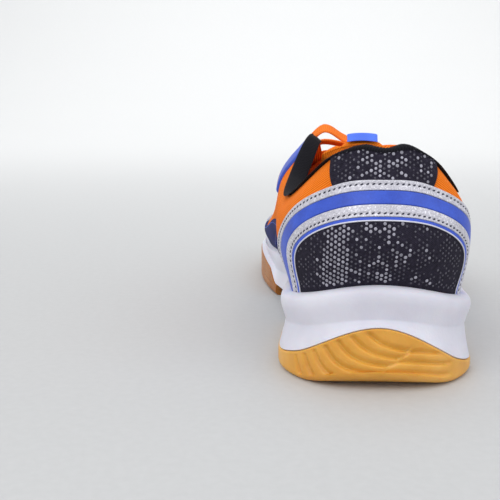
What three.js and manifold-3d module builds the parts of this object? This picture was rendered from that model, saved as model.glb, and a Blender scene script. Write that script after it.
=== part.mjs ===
// Low-cut court shoe for racket sports, right foot. Millimetres, toe towards +Y, outer (lateral) side +X, +Z up.
// The sole is lofted through cross-sections, and the upper is one smooth net of ribs: every layer of the
// upper is a sheet at its own distance from that net, so the layers nest whatever the sizes are.
import * as THREE from 'three';
import { mergeVertices } from 'three/addons/utils/BufferGeometryUtils.js';
import Module from 'manifold-3d';

// ---------- driving dimensions ----------
const SHOE_LENGTH = 292;          // heel back to toe tip of the outsole
const HEEL_WIDTH = 78;            // across the sole at the heel
const BALL_WIDTH = 104;           // across the sole at the ball of the foot
const HEEL_HEIGHT = 89;           // top edge of the heel tab above the ground
const INSTEP_HEIGHT = 86;         // mean height of the two top eyelet corners
const CLEARANCE = 0.4;            // gap left between pieces that are glued or sewn together
const TOE_SPRING = 9;             // rise of the outsole under the toe tip
const TOE_SPRING_START = 218;     // distance from the heel where the toe spring begins
const HEEL_BEVEL = 6;             // rise of the outsole at the heel back
const HEEL_BEVEL_LENGTH = 17;
const OUTSOLE_THICKNESS = 4.5;
const OUTSOLE_WALL = 1.8;         // rubber that wraps up the side of the midsole
const OUTSOLE_EDGE = 2.5;         // rounding of the bottom edge
const RIM_LIP = 1.4;              // width of the rounded top of the midsole rim
const MIDSOLE_WAIST = 0.7;        // how far the midsole is drawn in at its crease
const LIP_SWELL = 1.4;            // how far the rim swells out over the crease round the heel
const CUP_TAPER = 4.4;            // how much wider the midsole wall is at the footbed than at its rim
const SHELL_THICKNESS = 1.2;      // outer mesh of the upper
const LINING_THICKNESS = 1.0;
const OVERLAY_THICKNESS = 0.8;    // panels and bands welded on the mesh
const COUNTER_THICKNESS = 1.6;    // stiff heel counter between mesh and lining
const COLLAR_PADDING = 3.2;       // extra foam at the top of the collar, above the counter's thickness
const PUFF_THICKNESS = 1;         // stiff sheet that keeps the toe box up
const COLLAR_TAPER = 0.5;         // share of the extra foam that is gone at the top edge
const BOARD_THICKNESS = 1.6;      // strobel board that closes the upper underneath
const SOCKLINER_THICKNESS = 4;
const SHANK_THICKNESS = 2;
const INSERT_THICKNESS = 5;       // cushioning inserts let into the midsole
const BINDING_HEIGHT = 2.2;       // knitted roll over the top of the collar
const EYELETS = 6;                // on each side
const EYELET_DIAMETER = 6.4;
const LACE_DIAMETER = 2.8;
const TONGUE_HINGE_Y = 106.5;     // fold line of the tongue, just behind the top crossing of the lace
const TONGUE_FOLD_GAP = 0.8;
const TONGUE_HALF_WIDTH = 25;
const LABEL_WIDTH = 18;

// ---------- outline of the sole, one point per station ----------
// Stations run 0 at the heel back, 10 at the toe tip; both sides have the same number.
// y is given for a 292 mm sole and x for a 78 mm heel and a 104 mm ball, then scaled to the sizes above.
const NOMINAL = { length: 292, heel: 78, ball: 104, heelHeight: 89, instep: 86 };
const STATIONS = 10;
const HEEL_BACK = [-2, 0];
const TOE_TIP = [-5, 292];
const OUTLINE_LATERAL = [
  [20, 5.5], [36, 26], [39, 54], [41, 90], [45.5, 130], [51.5, 170], [52, 206], [47, 243], [30, 276],
];
const OUTLINE_MEDIAL = [
  [-23, 5.5], [-38, 27], [-38.5, 56], [-35, 93], [-36.5, 132], [-46.5, 170], [-51.5, 205], [-50, 243], [-37, 276],
];
const RIM_HEIGHT = [39, 36.5, 31.5, 29.5, 27.5, 25, 22.5, 21, 20, 19.5, 20];
const CREASE_HEIGHT = [24.5, 23, 19.5, 18, 16, 14, 12.5, 11.5, 11.5, 12, 13];
const FLOOR_HEIGHT = [20, 20, 20, 19.5, 18, 15.5, 13, 12, 12, 12, 12];
const HEEL_WALL_TOP = { medial: [20.3, 15, 8, 7, 7, 7], lateral: [20.3, 13.5, 5.5, 5, 5, 5] };
const TOE_WALL_TOP = {
  medial: [0, 0, 0, 0, 0, 8, 13, 16.5, 16, 15, 17],
  lateral: [0, 0, 0, 0, 0, 8, 10, 13, 13, 14, 17],
};

// ---------- ribs of the upper: lower swell, upper swell and top edge at each station ----------
const UPPER_LATERAL = {
  low: [[17, 4.5, 56], [32, 22, 53], [35.5, 50, 47], [38, 88, 44], [42, 127, 42], [49, 165, 35], [48.5, 200, 31],
    [41.5, 235, 31], [25, 267, 32]],
  high: [[14.5, 8, 73], [29, 20, 69], [35, 46, 60], [37, 82, 60], [37, 115, 64], [40, 156, 54], [35, 190, 45],
    [27.5, 222, 43.5], [17, 256, 42.5]],
  top: [[8.5, 9.5, 89.5], [18.5, 16.5, 83], [31, 44, 70], [31, 75, 70], [25.5, 103, 80.5], [16, 146, 65.5],
    [10.5, 180, 52.5], [0, 205, 50.5], [-1, 240, 47]],
};
const UPPER_MEDIAL = {
  low: [[-20, 4.5, 56], [-34, 23, 53], [-39.5, 53, 46], [-39.5, 91, 44], [-40.5, 128, 43], [-45, 165, 36],
    [-48, 200, 31.5], [-45, 236, 31], [-33, 267, 32]],
  high: [[-17.5, 8, 73], [-31, 21, 69], [-39.5, 49, 59], [-40.5, 86, 61], [-39, 116, 69], [-38, 155, 56],
    [-36, 190, 46], [-31, 223, 44], [-24, 256, 42.5]],
  top: [[-10.5, 9.5, 89.5], [-20.5, 17, 84.5], [-35, 47, 67.5], [-34.5, 77, 71.5], [-24, 107, 89], [-16.5, 146, 67],
    [-10.5, 180, 53], [0, 205, 50.5], [-1, 240, 47]],
};
const HEEL_RIB = { low: [-1.8, -1, 57], high: [-1.5, 3, 74], top: [-1, 8, 88.5] };
const TOE_RIB = { low: [-6, 284, 32], high: [-5, 276, 39], top: [-3, 264, 43] };
const RIDGE_START = 8;            // station where the two sides meet over the toes

// ---------- small helpers ----------
const lerp = THREE.MathUtils.lerp;
// Eases from 0 at low to 1 at high; low may be the larger of the two.
const smooth = (x, low, high) => {
  const t = THREE.MathUtils.clamp((x - low) / (high - low), 0, 1);
  return t * t * (3 - 2 * t);
};
const vec = ([x, y, z]) => new THREE.Vector3(x, y, z);

// Uniform Catmull-Rom through four numbers, at t between the middle two.
function cubic(a, b, c, d, t) {
  const t2 = t * t;
  const t3 = t2 * t;
  return 0.5 * (2 * b + (c - a) * t + (2 * a - 5 * b + 4 * c - d) * t2 + (3 * b - a - 3 * c + d) * t3);
}

function cubicPoint(a, b, c, d, t) {
  return new THREE.Vector3(cubic(a.x, b.x, c.x, d.x, t), cubic(a.y, b.y, c.y, d.y, t), cubic(a.z, b.z, c.z, d.z, t));
}

// Curve through a list of points; the ends are carried on straight unless the list closes.
function along(points, t, closed = false) {
  const count = points.length;
  const last = closed ? count : count - 1;
  const i = closed ? Math.floor(t) : Math.min(Math.max(Math.floor(t), 0), last - 1);
  const wrap = (k) => points[((k % count) + count) % count];
  const at = (k) => {
    if (closed) return wrap(k);
    if (k < 0) return points[0].clone().multiplyScalar(2).sub(points[1]);
    if (k > last) return points[last].clone().multiplyScalar(2).sub(points[last - 1]);
    return points[k];
  };
  return cubicPoint(at(i - 1), at(i), at(i + 1), at(i + 2), t - i);
}

// A value given at the stations, read between them; it levels out at the heel back and at the toe tip.
function between(list, station) {
  const last = list.length - 1;
  const i = Math.min(Math.floor(station), last - 1);
  const at = (k) => list[last - Math.abs(last - Math.abs(k))];
  return cubic(at(i - 1), at(i), at(i + 1), at(i + 2), station - i);
}

// ---------- scaling of the nominal points to the driving sizes ----------
const lengthScale = SHOE_LENGTH / NOMINAL.length;

function widthScale(y) {
  const share = smooth(y / NOMINAL.length, 0.25, 0.62);
  return lerp(HEEL_WIDTH / NOMINAL.heel, BALL_WIDTH / NOMINAL.ball, share);
}

function heightScale(y, z) {
  const heel = (HEEL_HEIGHT - RIM_HEIGHT[0]) / (NOMINAL.heelHeight - RIM_HEIGHT[0]);
  const instep = (INSTEP_HEIGHT - RIM_HEIGHT[4]) / (NOMINAL.instep - RIM_HEIGHT[4]);
  const share = smooth(y / NOMINAL.length, 0.1, 0.35);
  const rim = lerp(RIM_HEIGHT[0], RIM_HEIGHT[4], share);
  return z <= rim ? z : rim + (z - rim) * lerp(heel, instep, share);
}

function sized([x, y, z]) {
  return vec([x * widthScale(y), y * lengthScale, z === undefined ? 0 : heightScale(y, z)]);
}

// Rise of the ground side of the sole at a distance y from the heel.
function groundRise(y) {
  const bevel = Math.max(0, HEEL_BEVEL_LENGTH - y) / HEEL_BEVEL_LENGTH;
  const start = TOE_SPRING_START * lengthScale;
  const spring = Math.max(0, y - start) / (SHOE_LENGTH - start);
  return HEEL_BEVEL * bevel * bevel + TOE_SPRING * spring * spring;
}

// A closed row of points: heel back, lateral side, toe tip, then the medial side back to the heel.
function closedRow(heel, lateral, toe, medial) {
  return [heel, ...lateral, toe, ...medial.slice().reverse()].map(sized);
}

const OUTLINE = closedRow(HEEL_BACK, OUTLINE_LATERAL, TOE_TIP, OUTLINE_MEDIAL);
const LOW_ROW = closedRow(HEEL_RIB.low, UPPER_LATERAL.low, TOE_RIB.low, UPPER_MEDIAL.low);
const HIGH_ROW = closedRow(HEEL_RIB.high, UPPER_LATERAL.high, TOE_RIB.high, UPPER_MEDIAL.high);
const TOP_ROW = [
  ...UPPER_MEDIAL.top.slice(0, RIDGE_START).reverse(), HEEL_RIB.top, ...UPPER_LATERAL.top.slice(0, RIDGE_START),
].map(sized);
const RIDGE_ROW = [UPPER_LATERAL.top[RIDGE_START - 1], UPPER_LATERAL.top[RIDGE_START], TOE_RIB.top].map(sized);

// Signed station: positive on the lateral side, negative on the medial side.
const ringPlace = (s) => (s < 0 ? s + 2 * STATIONS : s);

function outlinePoint(s, inset) {
  const step = 0.01;
  const here = along(OUTLINE, ringPlace(s), true);
  const before = along(OUTLINE, ringPlace(s) - step, true);
  const after = along(OUTLINE, ringPlace(s) + step, true);
  const ahead = after.sub(before).normalize();
  return new THREE.Vector3(here.x - ahead.y * inset, here.y + ahead.x * inset, 0);
}

function solePoint(s, inset, height) {
  const point = outlinePoint(s, inset);
  point.z = height + groundRise(point.y) * smooth(height, 60, 0);
  return point;
}

// ---------- the net of the upper: s around the shoe, v from the footbed (-1) by the rim (0) to the top (1) ----------
const MIDSOLE_INSET = OUTSOLE_WALL + CLEARANCE;
const RIM_INSET = MIDSOLE_INSET + MIDSOLE_WAIST + 1.4;
const FEATHER_INSET = RIM_INSET + RIM_LIP + CLEARANCE;

function topEdge(s) {
  const station = Math.abs(s);
  if (station <= RIDGE_START) return along(TOP_ROW, s + RIDGE_START);
  return along(RIDGE_ROW, station - RIDGE_START);
}

function netPoint(s, v) {
  const station = Math.abs(s);
  const feather = solePoint(s, FEATHER_INSET, between(RIM_HEIGHT, station) - CLEARANCE);
  if (v < 0) {
    const floor = solePoint(s, FEATHER_INSET + CUP_TAPER, between(FLOOR_HEIGHT, station) + CLEARANCE);
    return feather.lerp(floor, -v);
  }
  const low = along(LOW_ROW, ringPlace(s), true);
  const high = along(HIGH_ROW, ringPlace(s), true);
  const top = topEdge(s);
  const straight = top.clone().multiplyScalar(2).sub(high);
  const across = along(HIGH_ROW, ringPlace(-s), true);
  const beyond = straight.lerp(across, smooth(station, RIDGE_START - 0.8, RIDGE_START));
  const below = feather.clone().multiplyScalar(2).sub(low);
  const rib = [below, feather, low, high, top, beyond];
  const place = Math.min(v * 3, 2.9999);
  const i = Math.floor(place);
  return cubicPoint(rib[i], rib[i + 1], rib[i + 2], rib[i + 3], place - i);
}

function netFrame(s, v) {
  const ds = 0.02;
  const dv = 0.01;
  const vLow = v > 1 - dv ? v - dv : v;
  const alongShoe = netPoint(s + ds, v).sub(netPoint(s - ds, v));
  const upRib = netPoint(s, vLow + dv).sub(netPoint(s, Math.max(vLow - dv, -1)));
  const out = alongShoe.clone().cross(upRib).normalize();
  return { out, up: upRib.normalize() };
}

// A point of a layer: out is positive away from the foot.
function layerPoint(s, v, out) {
  if (Math.abs(s) < STATIONS) return netPoint(s, v).addScaledVector(netFrame(s, v).out, out);
  const nearToe = STATIONS - 0.05;
  const normal = netFrame(nearToe, v).out.add(netFrame(-nearToe, v).out).normalize();
  return netPoint(STATIONS, v).addScaledVector(normal, out);
}

// ---------- closed solids ----------
function solidFromTriangles(positions) {
  const geometry = new THREE.BufferGeometry();
  geometry.setAttribute('position', new THREE.Float32BufferAttribute(positions, 3));
  return dropFlat(mergeVertices(geometry, 1e-3));
}

// Removes triangles that lost an edge when the points were merged.
function dropFlat(geometry) {
  const index = [];
  const source = geometry.index.array;
  for (let i = 0; i < source.length; i += 3) {
    const [a, b, c] = [source[i], source[i + 1], source[i + 2]];
    if (a !== b && b !== c && c !== a) index.push(a, b, c);
  }
  geometry.setIndex(index);
  return geometry;
}

function pushQuad(list, a, b, c, d) {
  for (const p of [a, b, c, a, c, d]) list.push(p.x, p.y, p.z);
}

// Thick sheet between an outer and an inner grid of points; a folded end needs no wall.
function thickSheet(outer, inner, foldedEnd = false) {
  const list = [];
  const rows = outer.length - 1;
  const columns = outer[0].length - 1;
  for (let i = 0; i < rows; i += 1) {
    for (let j = 0; j < columns; j += 1) {
      pushQuad(list, outer[i][j], outer[i + 1][j], outer[i + 1][j + 1], outer[i][j + 1]);
      pushQuad(list, inner[i][j], inner[i][j + 1], inner[i + 1][j + 1], inner[i + 1][j]);
    }
    pushQuad(list, outer[i][0], inner[i][0], inner[i + 1][0], outer[i + 1][0]);
    pushQuad(list, outer[i][columns], outer[i + 1][columns], inner[i + 1][columns], inner[i][columns]);
  }
  for (let j = 0; j < columns; j += 1) {
    pushQuad(list, outer[0][j], outer[0][j + 1], inner[0][j + 1], inner[0][j]);
    if (!foldedEnd) {
      pushQuad(list, outer[rows][j], inner[rows][j], inner[rows][j + 1], outer[rows][j + 1]);
    }
  }
  return solidFromTriangles(list);
}

// Sheet of the upper: places is a grid of [s, v], the faces lie at outer(s, v) and inner(s, v) from the net.
function layer(places, outer, inner, foldedEnd = false) {
  const surface = (offset) => places.map((row) => row.map(([s, v]) => layerPoint(s, v, offset(s, v))));
  return thickSheet(surface(outer), surface(inner), foldedEnd);
}

// Solid lofted through cross-sections with the same number of points; pointed ends close by themselves.
// Each section runs anticlockwise seen from the heel.
function sectionLoft(sections, capStart, capEnd) {
  const list = [];
  const count = sections[0].length;
  for (let i = 0; i < sections.length - 1; i += 1) {
    for (let j = 0; j < count; j += 1) {
      const k = (j + 1) % count;
      pushQuad(list, sections[i][j], sections[i + 1][j], sections[i + 1][k], sections[i][k]);
    }
  }
  const cap = (section, reverse) => {
    const flat = section.map((p) => new THREE.Vector2(p.x, p.z));
    for (const [a, b, c] of THREE.ShapeUtils.triangulateShape(flat, [])) {
      const order = reverse ? [a, c, b] : [a, b, c];
      for (const k of order) list.push(section[k].x, section[k].y, section[k].z);
    }
  };
  if (capStart) cap(sections[0], false);
  if (capEnd) cap(sections[sections.length - 1], true);
  return solidFromTriangles(list);
}

function turned(geometry) {
  const index = geometry.index.array;
  for (let i = 0; i < index.length; i += 3) [index[i + 1], index[i + 2]] = [index[i + 2], index[i + 1]];
  return geometry;
}

const wasm = await Module();
wasm.setup();

function toManifold(source) {
  const bare = source.index ? source.clone() : source;
  bare.deleteAttribute('normal');
  bare.deleteAttribute('uv');
  const merged = dropFlat(mergeVertices(bare, 1e-4));
  return new wasm.Manifold(new wasm.Mesh({
    numProp: 3,
    vertProperties: new Float32Array(merged.attributes.position.array),
    triVerts: new Uint32Array(merged.index.array),
  }));
}

function fromManifold(solid) {
  const mesh = solid.getMesh();
  const geometry = new THREE.BufferGeometry();
  geometry.setAttribute('position', new THREE.BufferAttribute(new Float32Array(mesh.vertProperties), 3));
  geometry.setIndex(Array.from(mesh.triVerts));
  return geometry;
}

function cut(geometry, tools) {
  let solid = toManifold(geometry);
  for (const tool of tools) solid = solid.subtract(toManifold(tool));
  return fromManifold(solid);
}

function join(pieces) {
  let solid = toManifold(pieces[0]);
  for (const piece of pieces.slice(1)) solid = solid.add(toManifold(piece));
  return fromManifold(solid);
}

// ---------- lists of stations ----------
const HEEL_STEPS = [0, 0.3, 0.6, 0.9, 1.2, 1.5, 1.8, 2.2, 2.6, 3];
const MIDDLE_STEPS = [3.5, 4, 4.5, 5, 5.5, 6, 6.5, 7, 7.5, 8];
const TOE_STEPS = [8.4, 8.8, 9.1, 9.4, 9.7, 10];
const ALL_STEPS = [...HEEL_STEPS, ...MIDDLE_STEPS, ...TOE_STEPS];

function stepsFrom(start, end) {
  return [start, ...ALL_STEPS.filter((s) => s > start + 0.1 && s < end - 0.1), end];
}

function bothSides(limit) {
  const half = stepsFrom(0, limit);
  return [...half.slice(1).reverse().map((s) => -s), ...half];
}

// ---------- sole ----------
// Section through both sides of the sole: [inset, height(station, side)] from the outside in.
function soleSection(s, profile) {
  const medial = profile(s, 'medial').map(([inset, height]) => solePoint(-s, inset, height));
  const lateral = profile(s, 'lateral').map(([inset, height]) => solePoint(s, inset, height));
  return [...medial, ...lateral.reverse()];
}

function soleLoft(steps, profile) {
  const first = steps[0];
  const last = steps[steps.length - 1];
  return sectionLoft(steps.map((s) => soleSection(s, profile)), first > 0, last < STATIONS);
}

// A tray of rubber: floor of the outsole's thickness and a wall that stands up round the midsole.
function outsoleProfile(wallTop) {
  return (s, side) => [
    [OUTSOLE_WALL, OUTSOLE_THICKNESS],
    [OUTSOLE_WALL, wallTop(s, side)],
    [0.5, wallTop(s, side)],
    [0, wallTop(s, side) - 0.8],
    [0, OUTSOLE_EDGE],
    [OUTSOLE_EDGE, 0],
  ];
}

const heelWallTop = (s, side) => between(HEEL_WALL_TOP[side], s);
const toeWallTop = (s, side) => between(TOE_WALL_TOP[side], s);
const HEEL_OUTSOLE_END = 4.15;
const FOREFOOT_OUTSOLE_START = 5.6;

// Tread: shallow cross grooves in the ground face.
function treadGrooves(first, last, count, halfWidth) {
  const grooves = [];
  for (let i = 0; i < count; i += 1) {
    const groove = new THREE.BoxGeometry(halfWidth * 2, 1.6, 2.4);
    groove.rotateZ(i % 2 === 0 ? 0.12 : -0.12);
    groove.translate(0, lerp(first, last, i / (count - 1)) * lengthScale, 0);
    grooves.push(groove);
  }
  return grooves;
}

function heelOutsole() {
  const tray = soleLoft(stepsFrom(0, HEEL_OUTSOLE_END), outsoleProfile(heelWallTop));
  return cut(tray, treadGrooves(20, 76, 5, HEEL_WIDTH * 0.36));
}

function forefootOutsole() {
  const tray = soleLoft(stepsFrom(FOREFOOT_OUTSOLE_START, STATIONS), outsoleProfile(toeWallTop));
  return cut(tray, treadGrooves(168, 212, 4, BALL_WIDTH * 0.38));
}

function midfootShank() {
  const top = OUTSOLE_THICKNESS;
  const profile = () => [
    [MIDSOLE_INSET + 1, top],
    [MIDSOLE_INSET + 1, top - SHANK_THICKNESS],
  ];
  const gap = 0.03;
  return soleLoft(stepsFrom(HEEL_OUTSOLE_END + gap, FOREFOOT_OUTSOLE_START - gap), profile);
}

function midsoleProfile(s) {
  const rim = between(RIM_HEIGHT, s);
  const crease = between(CREASE_HEIGHT, s);
  const swell = LIP_SWELL * smooth(s, 6, 4.5);
  return [
    [FEATHER_INSET + CUP_TAPER - CLEARANCE, between(FLOOR_HEIGHT, s)],
    [FEATHER_INSET - CLEARANCE, rim - 0.8],
    [RIM_INSET + 0.5, rim],
    [RIM_INSET - 0.4, rim - 0.8],
    [MIDSOLE_INSET - swell, lerp(crease, rim, 0.62)],
    [MIDSOLE_INSET + MIDSOLE_WAIST, crease],
    [MIDSOLE_INSET, OUTSOLE_THICKNESS + CLEARANCE],
  ];
}

const HEEL_INSERT = { y: 48, length: 52, width: 40, floor: 20 };
const FOREFOOT_INSERT = { y: 200, length: 56, width: 58, floor: 12 };

// Oval pad standing in a pocket of the midsole under the strobel board.
function oval(insert, margin, depth, top) {
  const shape = new THREE.Shape();
  shape.absellipse(0, 0, insert.width / 2 + margin, (insert.length * lengthScale) / 2 + margin, 0, 2 * Math.PI);
  const pad = new THREE.ExtrudeGeometry(shape, { depth, bevelEnabled: false, curveSegments: 14 });
  pad.translate(0, insert.y * lengthScale, top - depth);
  return pad;
}

function insertPad(insert) {
  return fromManifold(toManifold(oval(insert, 0, INSERT_THICKNESS, insert.floor - 2)));
}

function midsole() {
  const cup = soleLoft(ALL_STEPS, midsoleProfile);
  const pocket = (insert) => oval(insert, CLEARANCE, 30, insert.floor - 2 - INSERT_THICKNESS - CLEARANCE + 30);
  return cut(cup, [pocket(HEEL_INSERT), pocket(FOREFOOT_INSERT)]);
}

const BOARD_INSET = FEATHER_INSET + CUP_TAPER + 4;
const boardBottom = (s) => between(FLOOR_HEIGHT, s) + CLEARANCE;

function strobelBoard() {
  return soleLoft(ALL_STEPS, (s) => [
    [BOARD_INSET, boardBottom(s) + BOARD_THICKNESS],
    [BOARD_INSET, boardBottom(s)],
  ]);
}

function sockliner() {
  const bottom = (s) => boardBottom(s) + BOARD_THICKNESS + CLEARANCE;
  return soleLoft(ALL_STEPS, (s) => [
    [BOARD_INSET + 6, bottom(s) + SOCKLINER_THICKNESS],
    [BOARD_INSET + 1.2, bottom(s) + SOCKLINER_THICKNESS + 1.6],
    [BOARD_INSET + 0.8, bottom(s)],
  ]);
}

// ---------- upper: layers from the outside in ----------
const SHELL_OUT = () => 0;
const SHELL_IN = () => -SHELL_THICKNESS;
const padding = (s, v) => {
  const collar = smooth(v, 0.44, 0.7) * smooth(Math.abs(s), 5.2, 4.4);
  const taper = 1 - COLLAR_TAPER * smooth(v, 0.82, 1);
  return COUNTER_THICKNESS + COLLAR_PADDING * collar * taper;
};
const PAD_OUT = () => -SHELL_THICKNESS - CLEARANCE;
const LINING_OUT = (s, v) => PAD_OUT() - padding(s, v) - CLEARANCE;
const LINING_IN = (s, v) => LINING_OUT(s, v) - LINING_THICKNESS;
const OVERLAY_IN = () => CLEARANCE;
const OVERLAY_OUT = () => CLEARANCE + OVERLAY_THICKNESS;
const QUARTER_FLOOR = -0.9;
const SHELL_ROWS = [QUARTER_FLOOR, 0, 0.12, 0.25, 0.38, 0.5, 0.62, 0.74, 0.87, 1];
const SEAM = 0.012;               // half of a seam between neighbouring pieces, in stations

function grid(steps, rows) {
  return steps.map((s) => rows.map((v) => [s, v]));
}

function quarter(side) {
  const steps = stepsFrom(SEAM * 3, RIDGE_START - SEAM).map((s) => s * side);
  if (side < 0) steps.reverse();
  return layer(grid(steps, SHELL_ROWS), SHELL_OUT, SHELL_IN);
}

function overRidge(steps, rows, outer, inner) {
  const places = steps.map((s) => [
    ...rows.map((v) => [-s, v]),
    ...rows.slice(0, -1).reverse().map((v) => [s, v]),
  ]);
  return turned(layer(places, outer, inner, true));
}

const toeVamp = () => overRidge(stepsFrom(RIDGE_START + SEAM, STATIONS), SHELL_ROWS, SHELL_OUT, SHELL_IN);

function toePuff() {
  const rows = SHELL_ROWS.filter((v) => v > 0.1);
  const outer = () => PAD_OUT() - CLEARANCE;
  return overRidge(stepsFrom(8.8, STATIONS), rows, outer, () => outer() - PUFF_THICKNESS);
}

const HEEL_CURVE = bothSides(5);

function heelLining() {
  return layer(grid(HEEL_CURVE, SHELL_ROWS), LINING_OUT, LINING_IN);
}

const FOAM_SHARE = 0.9;           // part of the padding's depth that the foam fills

function collarFoam() {
  const rows = [...SHELL_ROWS.filter((v) => v >= 0.5 && v < 1), 0.9];
  const inner = (s, v) => PAD_OUT() - padding(s, v) * FOAM_SHARE;
  return layer(grid(bothSides(4.5), rows), () => PAD_OUT(), inner);
}

function heelCounter() {
  const rows = [0.04, ...SHELL_ROWS.filter((v) => v > 0.04 && v < 0.45)];
  return layer(grid(bothSides(3), rows), () => PAD_OUT(), () => PAD_OUT() - COUNTER_THICKNESS);
}

const BINDING_FOOT = { outside: 2.6, inside: 1.8 };   // how far the roll stands off the edges that it covers
const BINDING_SKIRT = 0.4;
const BINDING_FACETS = 6;

// Knitted roll that closes the top of the collar, a half-round swept along the top edge.
function collarBinding() {
  const sections = HEEL_CURVE.map((s) => {
    const { out, up } = netFrame(s, 1);
    const edge = netPoint(s, 1);
    const width = OVERLAY_OUT() - LINING_IN(s, 1);
    const middle = (OVERLAY_OUT() + LINING_IN(s, 1)) / 2;
    const place = (across, rise) => edge.clone().addScaledVector(out, middle + across).addScaledVector(up, rise);
    const section = [place(width / 2, BINDING_FOOT.outside), place(-width / 2, BINDING_FOOT.inside)];
    for (let i = 0; i <= BINDING_FACETS; i += 1) {
      const angle = Math.PI * (1 - i / BINDING_FACETS);
      const foot = lerp(BINDING_FOOT.inside, BINDING_FOOT.outside, i / BINDING_FACETS);
      const rise = foot + BINDING_SKIRT + Math.sin(angle) * (BINDING_HEIGHT - BINDING_SKIRT);
      section.push(place((Math.cos(angle) * width) / 2, rise));
    }
    return section;
  });
  return turned(closedSweep(sections));
}

// Sweep of a convex section with both ends capped by a fan.
function closedSweep(sections) {
  const list = [];
  const count = sections[0].length;
  for (let i = 0; i < sections.length - 1; i += 1) {
    for (let j = 0; j < count; j += 1) {
      const k = (j + 1) % count;
      pushQuad(list, sections[i][j], sections[i + 1][j], sections[i + 1][k], sections[i][k]);
    }
  }
  const last = sections[sections.length - 1];
  for (let j = 1; j < count - 1; j += 1) {
    for (const p of [sections[0][0], sections[0][j], sections[0][j + 1]]) list.push(p.x, p.y, p.z);
    for (const p of [last[0], last[j + 1], last[j]]) list.push(p.x, p.y, p.z);
  }
  return solidFromTriangles(list);
}

// ---------- heel panels and the bands that arch over them ----------
const OVERLAY_FOOT = 0.035;       // lower edge of the overlays, just above the midsole rim
const ARCH_POWER = 2.4;
const ARCH_EDGES = [
  { reach: 2.15, height: 0.503, pinch: 0.15 },
  { reach: 2.36, height: 0.583, pinch: 0.12 },
  { reach: 2.74, height: 0.683, pinch: 0.06 },
  { reach: 3.02, height: 0.763, pinch: 0 },
];
const PIPING_EDGES = [{ reach: 2.05, height: 0.471, pinch: 0.15 }, ARCH_EDGES[0]];
const PINCH_TOP = 0.32;           // above this height the arches are no longer drawn in
const BAND_GAP = { reach: 0.025, height: 0.009 };

// Share of its full reach that an edge of the arch keeps at a height. The arches draw in towards the sole.
const kept = (edge, v) => 1 - edge.pinch * (1 - smooth(v, 0, PINCH_TOP));

function archPlace(edge, angle, gap = 0) {
  const c = Math.cos(angle);
  const across = Math.sign(c) * Math.abs(c) ** (2 / ARCH_POWER);
  const rise = Math.sin(angle) ** (2 / ARCH_POWER);
  const v = Math.max(OVERLAY_FOOT, (edge.height + gap * BAND_GAP.height) * rise);
  return [(edge.reach + gap * BAND_GAP.reach) * across * kept(edge, v), v];
}

const ARCH_STEPS = 32;
const ARCH_START = 0.0105 * Math.PI;
const archAngles = Array.from({ length: ARCH_STEPS + 1 },
  (unused, i) => Math.PI - lerp(ARCH_START, Math.PI - ARCH_START, i / ARCH_STEPS));

function archBand(lower, upper) {
  const places = archAngles.map((angle) => [0, 0.5, 1].map((share) => {
    const [s0, v0] = archPlace(lower, angle, 1);
    const [s1, v1] = archPlace(upper, angle, -1);
    return [lerp(s0, s1, share), lerp(v0, v1, share)];
  }));
  return layer(places, OVERLAY_OUT, OVERLAY_IN);
}

function heelLowerPanel() {
  const places = archAngles.slice(1, -1).map((angle) => {
    const edge = PIPING_EDGES[0];
    const [edgeStation, edgeTop] = archPlace(edge, angle, -1);
    const reach = edgeStation / kept(edge, edgeTop);
    return [0, 0.25, 0.5, 0.75, 1].map((share) => {
      const v = lerp(OVERLAY_FOOT, Math.max(edgeTop, OVERLAY_FOOT + 0.02), share);
      return [reach * kept(edge, v), v];
    });
  });
  return layer(places, OVERLAY_OUT, OVERLAY_IN);
}

const TAB_REACH = { bottom: 1.18, top: 1.95 };

function heelTabPanel() {
  const outerArch = ARCH_EDGES[ARCH_EDGES.length - 1];
  const columns = 16;
  const places = [];
  for (let i = 0; i <= columns; i += 1) {
    const t = lerp(-1, 1, i / columns);
    const foot = t * TAB_REACH.bottom;
    const share = Math.abs(foot / outerArch.reach) ** ARCH_POWER;
    const bottom = (outerArch.height + BAND_GAP.height * 2) * (1 - share) ** (1 / ARCH_POWER);
    places.push([0, 0.33, 0.66, 1].map((up) => [t * lerp(TAB_REACH.bottom, TAB_REACH.top, up), lerp(bottom, 1, up)]));
  }
  return layer(places, OVERLAY_OUT, OVERLAY_IN);
}

// ---------- side panels ----------
// Panel between two stations. Its rows lie on the rows of the shell, so the two stay apart everywhere.
function sidePanel(side, start, end, lowerEdge, rows) {
  const steps = stepsFrom(start, end);
  if (side < 0) steps.reverse();
  const places = steps.map((s) => {
    const share = (s - start) / (end - start);
    return [[side * s, lowerEdge(share)], ...rows.map((v) => [side * s, v])];
  });
  return layer(places, OVERLAY_OUT, OVERLAY_IN);
}

const LOWER_ROWS = SHELL_ROWS.filter((v) => v > 0.1 && v < 0.4);
const lowerQuarter = (side) => sidePanel(side, 3.12, 7.3, () => OVERLAY_FOOT, LOWER_ROWS);
const EYESTAY = { start: 4.5, end: 7.7 };
const EYESTAY_ROWS = SHELL_ROWS.filter((v) => v > 0.7);
const eyestayFoot = (share) => lerp(0.6, 0.71, smooth(share, 0, 0.35));

function toeGuard() {
  const rows = [OVERLAY_FOOT, ...LOWER_ROWS];
  const steps = [...stepsFrom(7.34, STATIONS)];
  const lateral = steps.map((s) => rows.map((v) => [s, v]));
  const medial = steps.slice(0, -1).reverse().map((s) => rows.map((v) => [-s, v]));
  return layer([...lateral, ...medial], OVERLAY_OUT, OVERLAY_IN);
}

// ---------- eyelets and lace ----------
const EYELET_FIRST = 7.25;        // station of the lowest eyelet, by the toes
const EYELET_LAST = 5.25;         // station of the top eyelet
const EYELET_ROW = 0.88;
const eyeletStation = (i) => lerp(EYELET_FIRST, EYELET_LAST, i / (EYELETS - 1));

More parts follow.
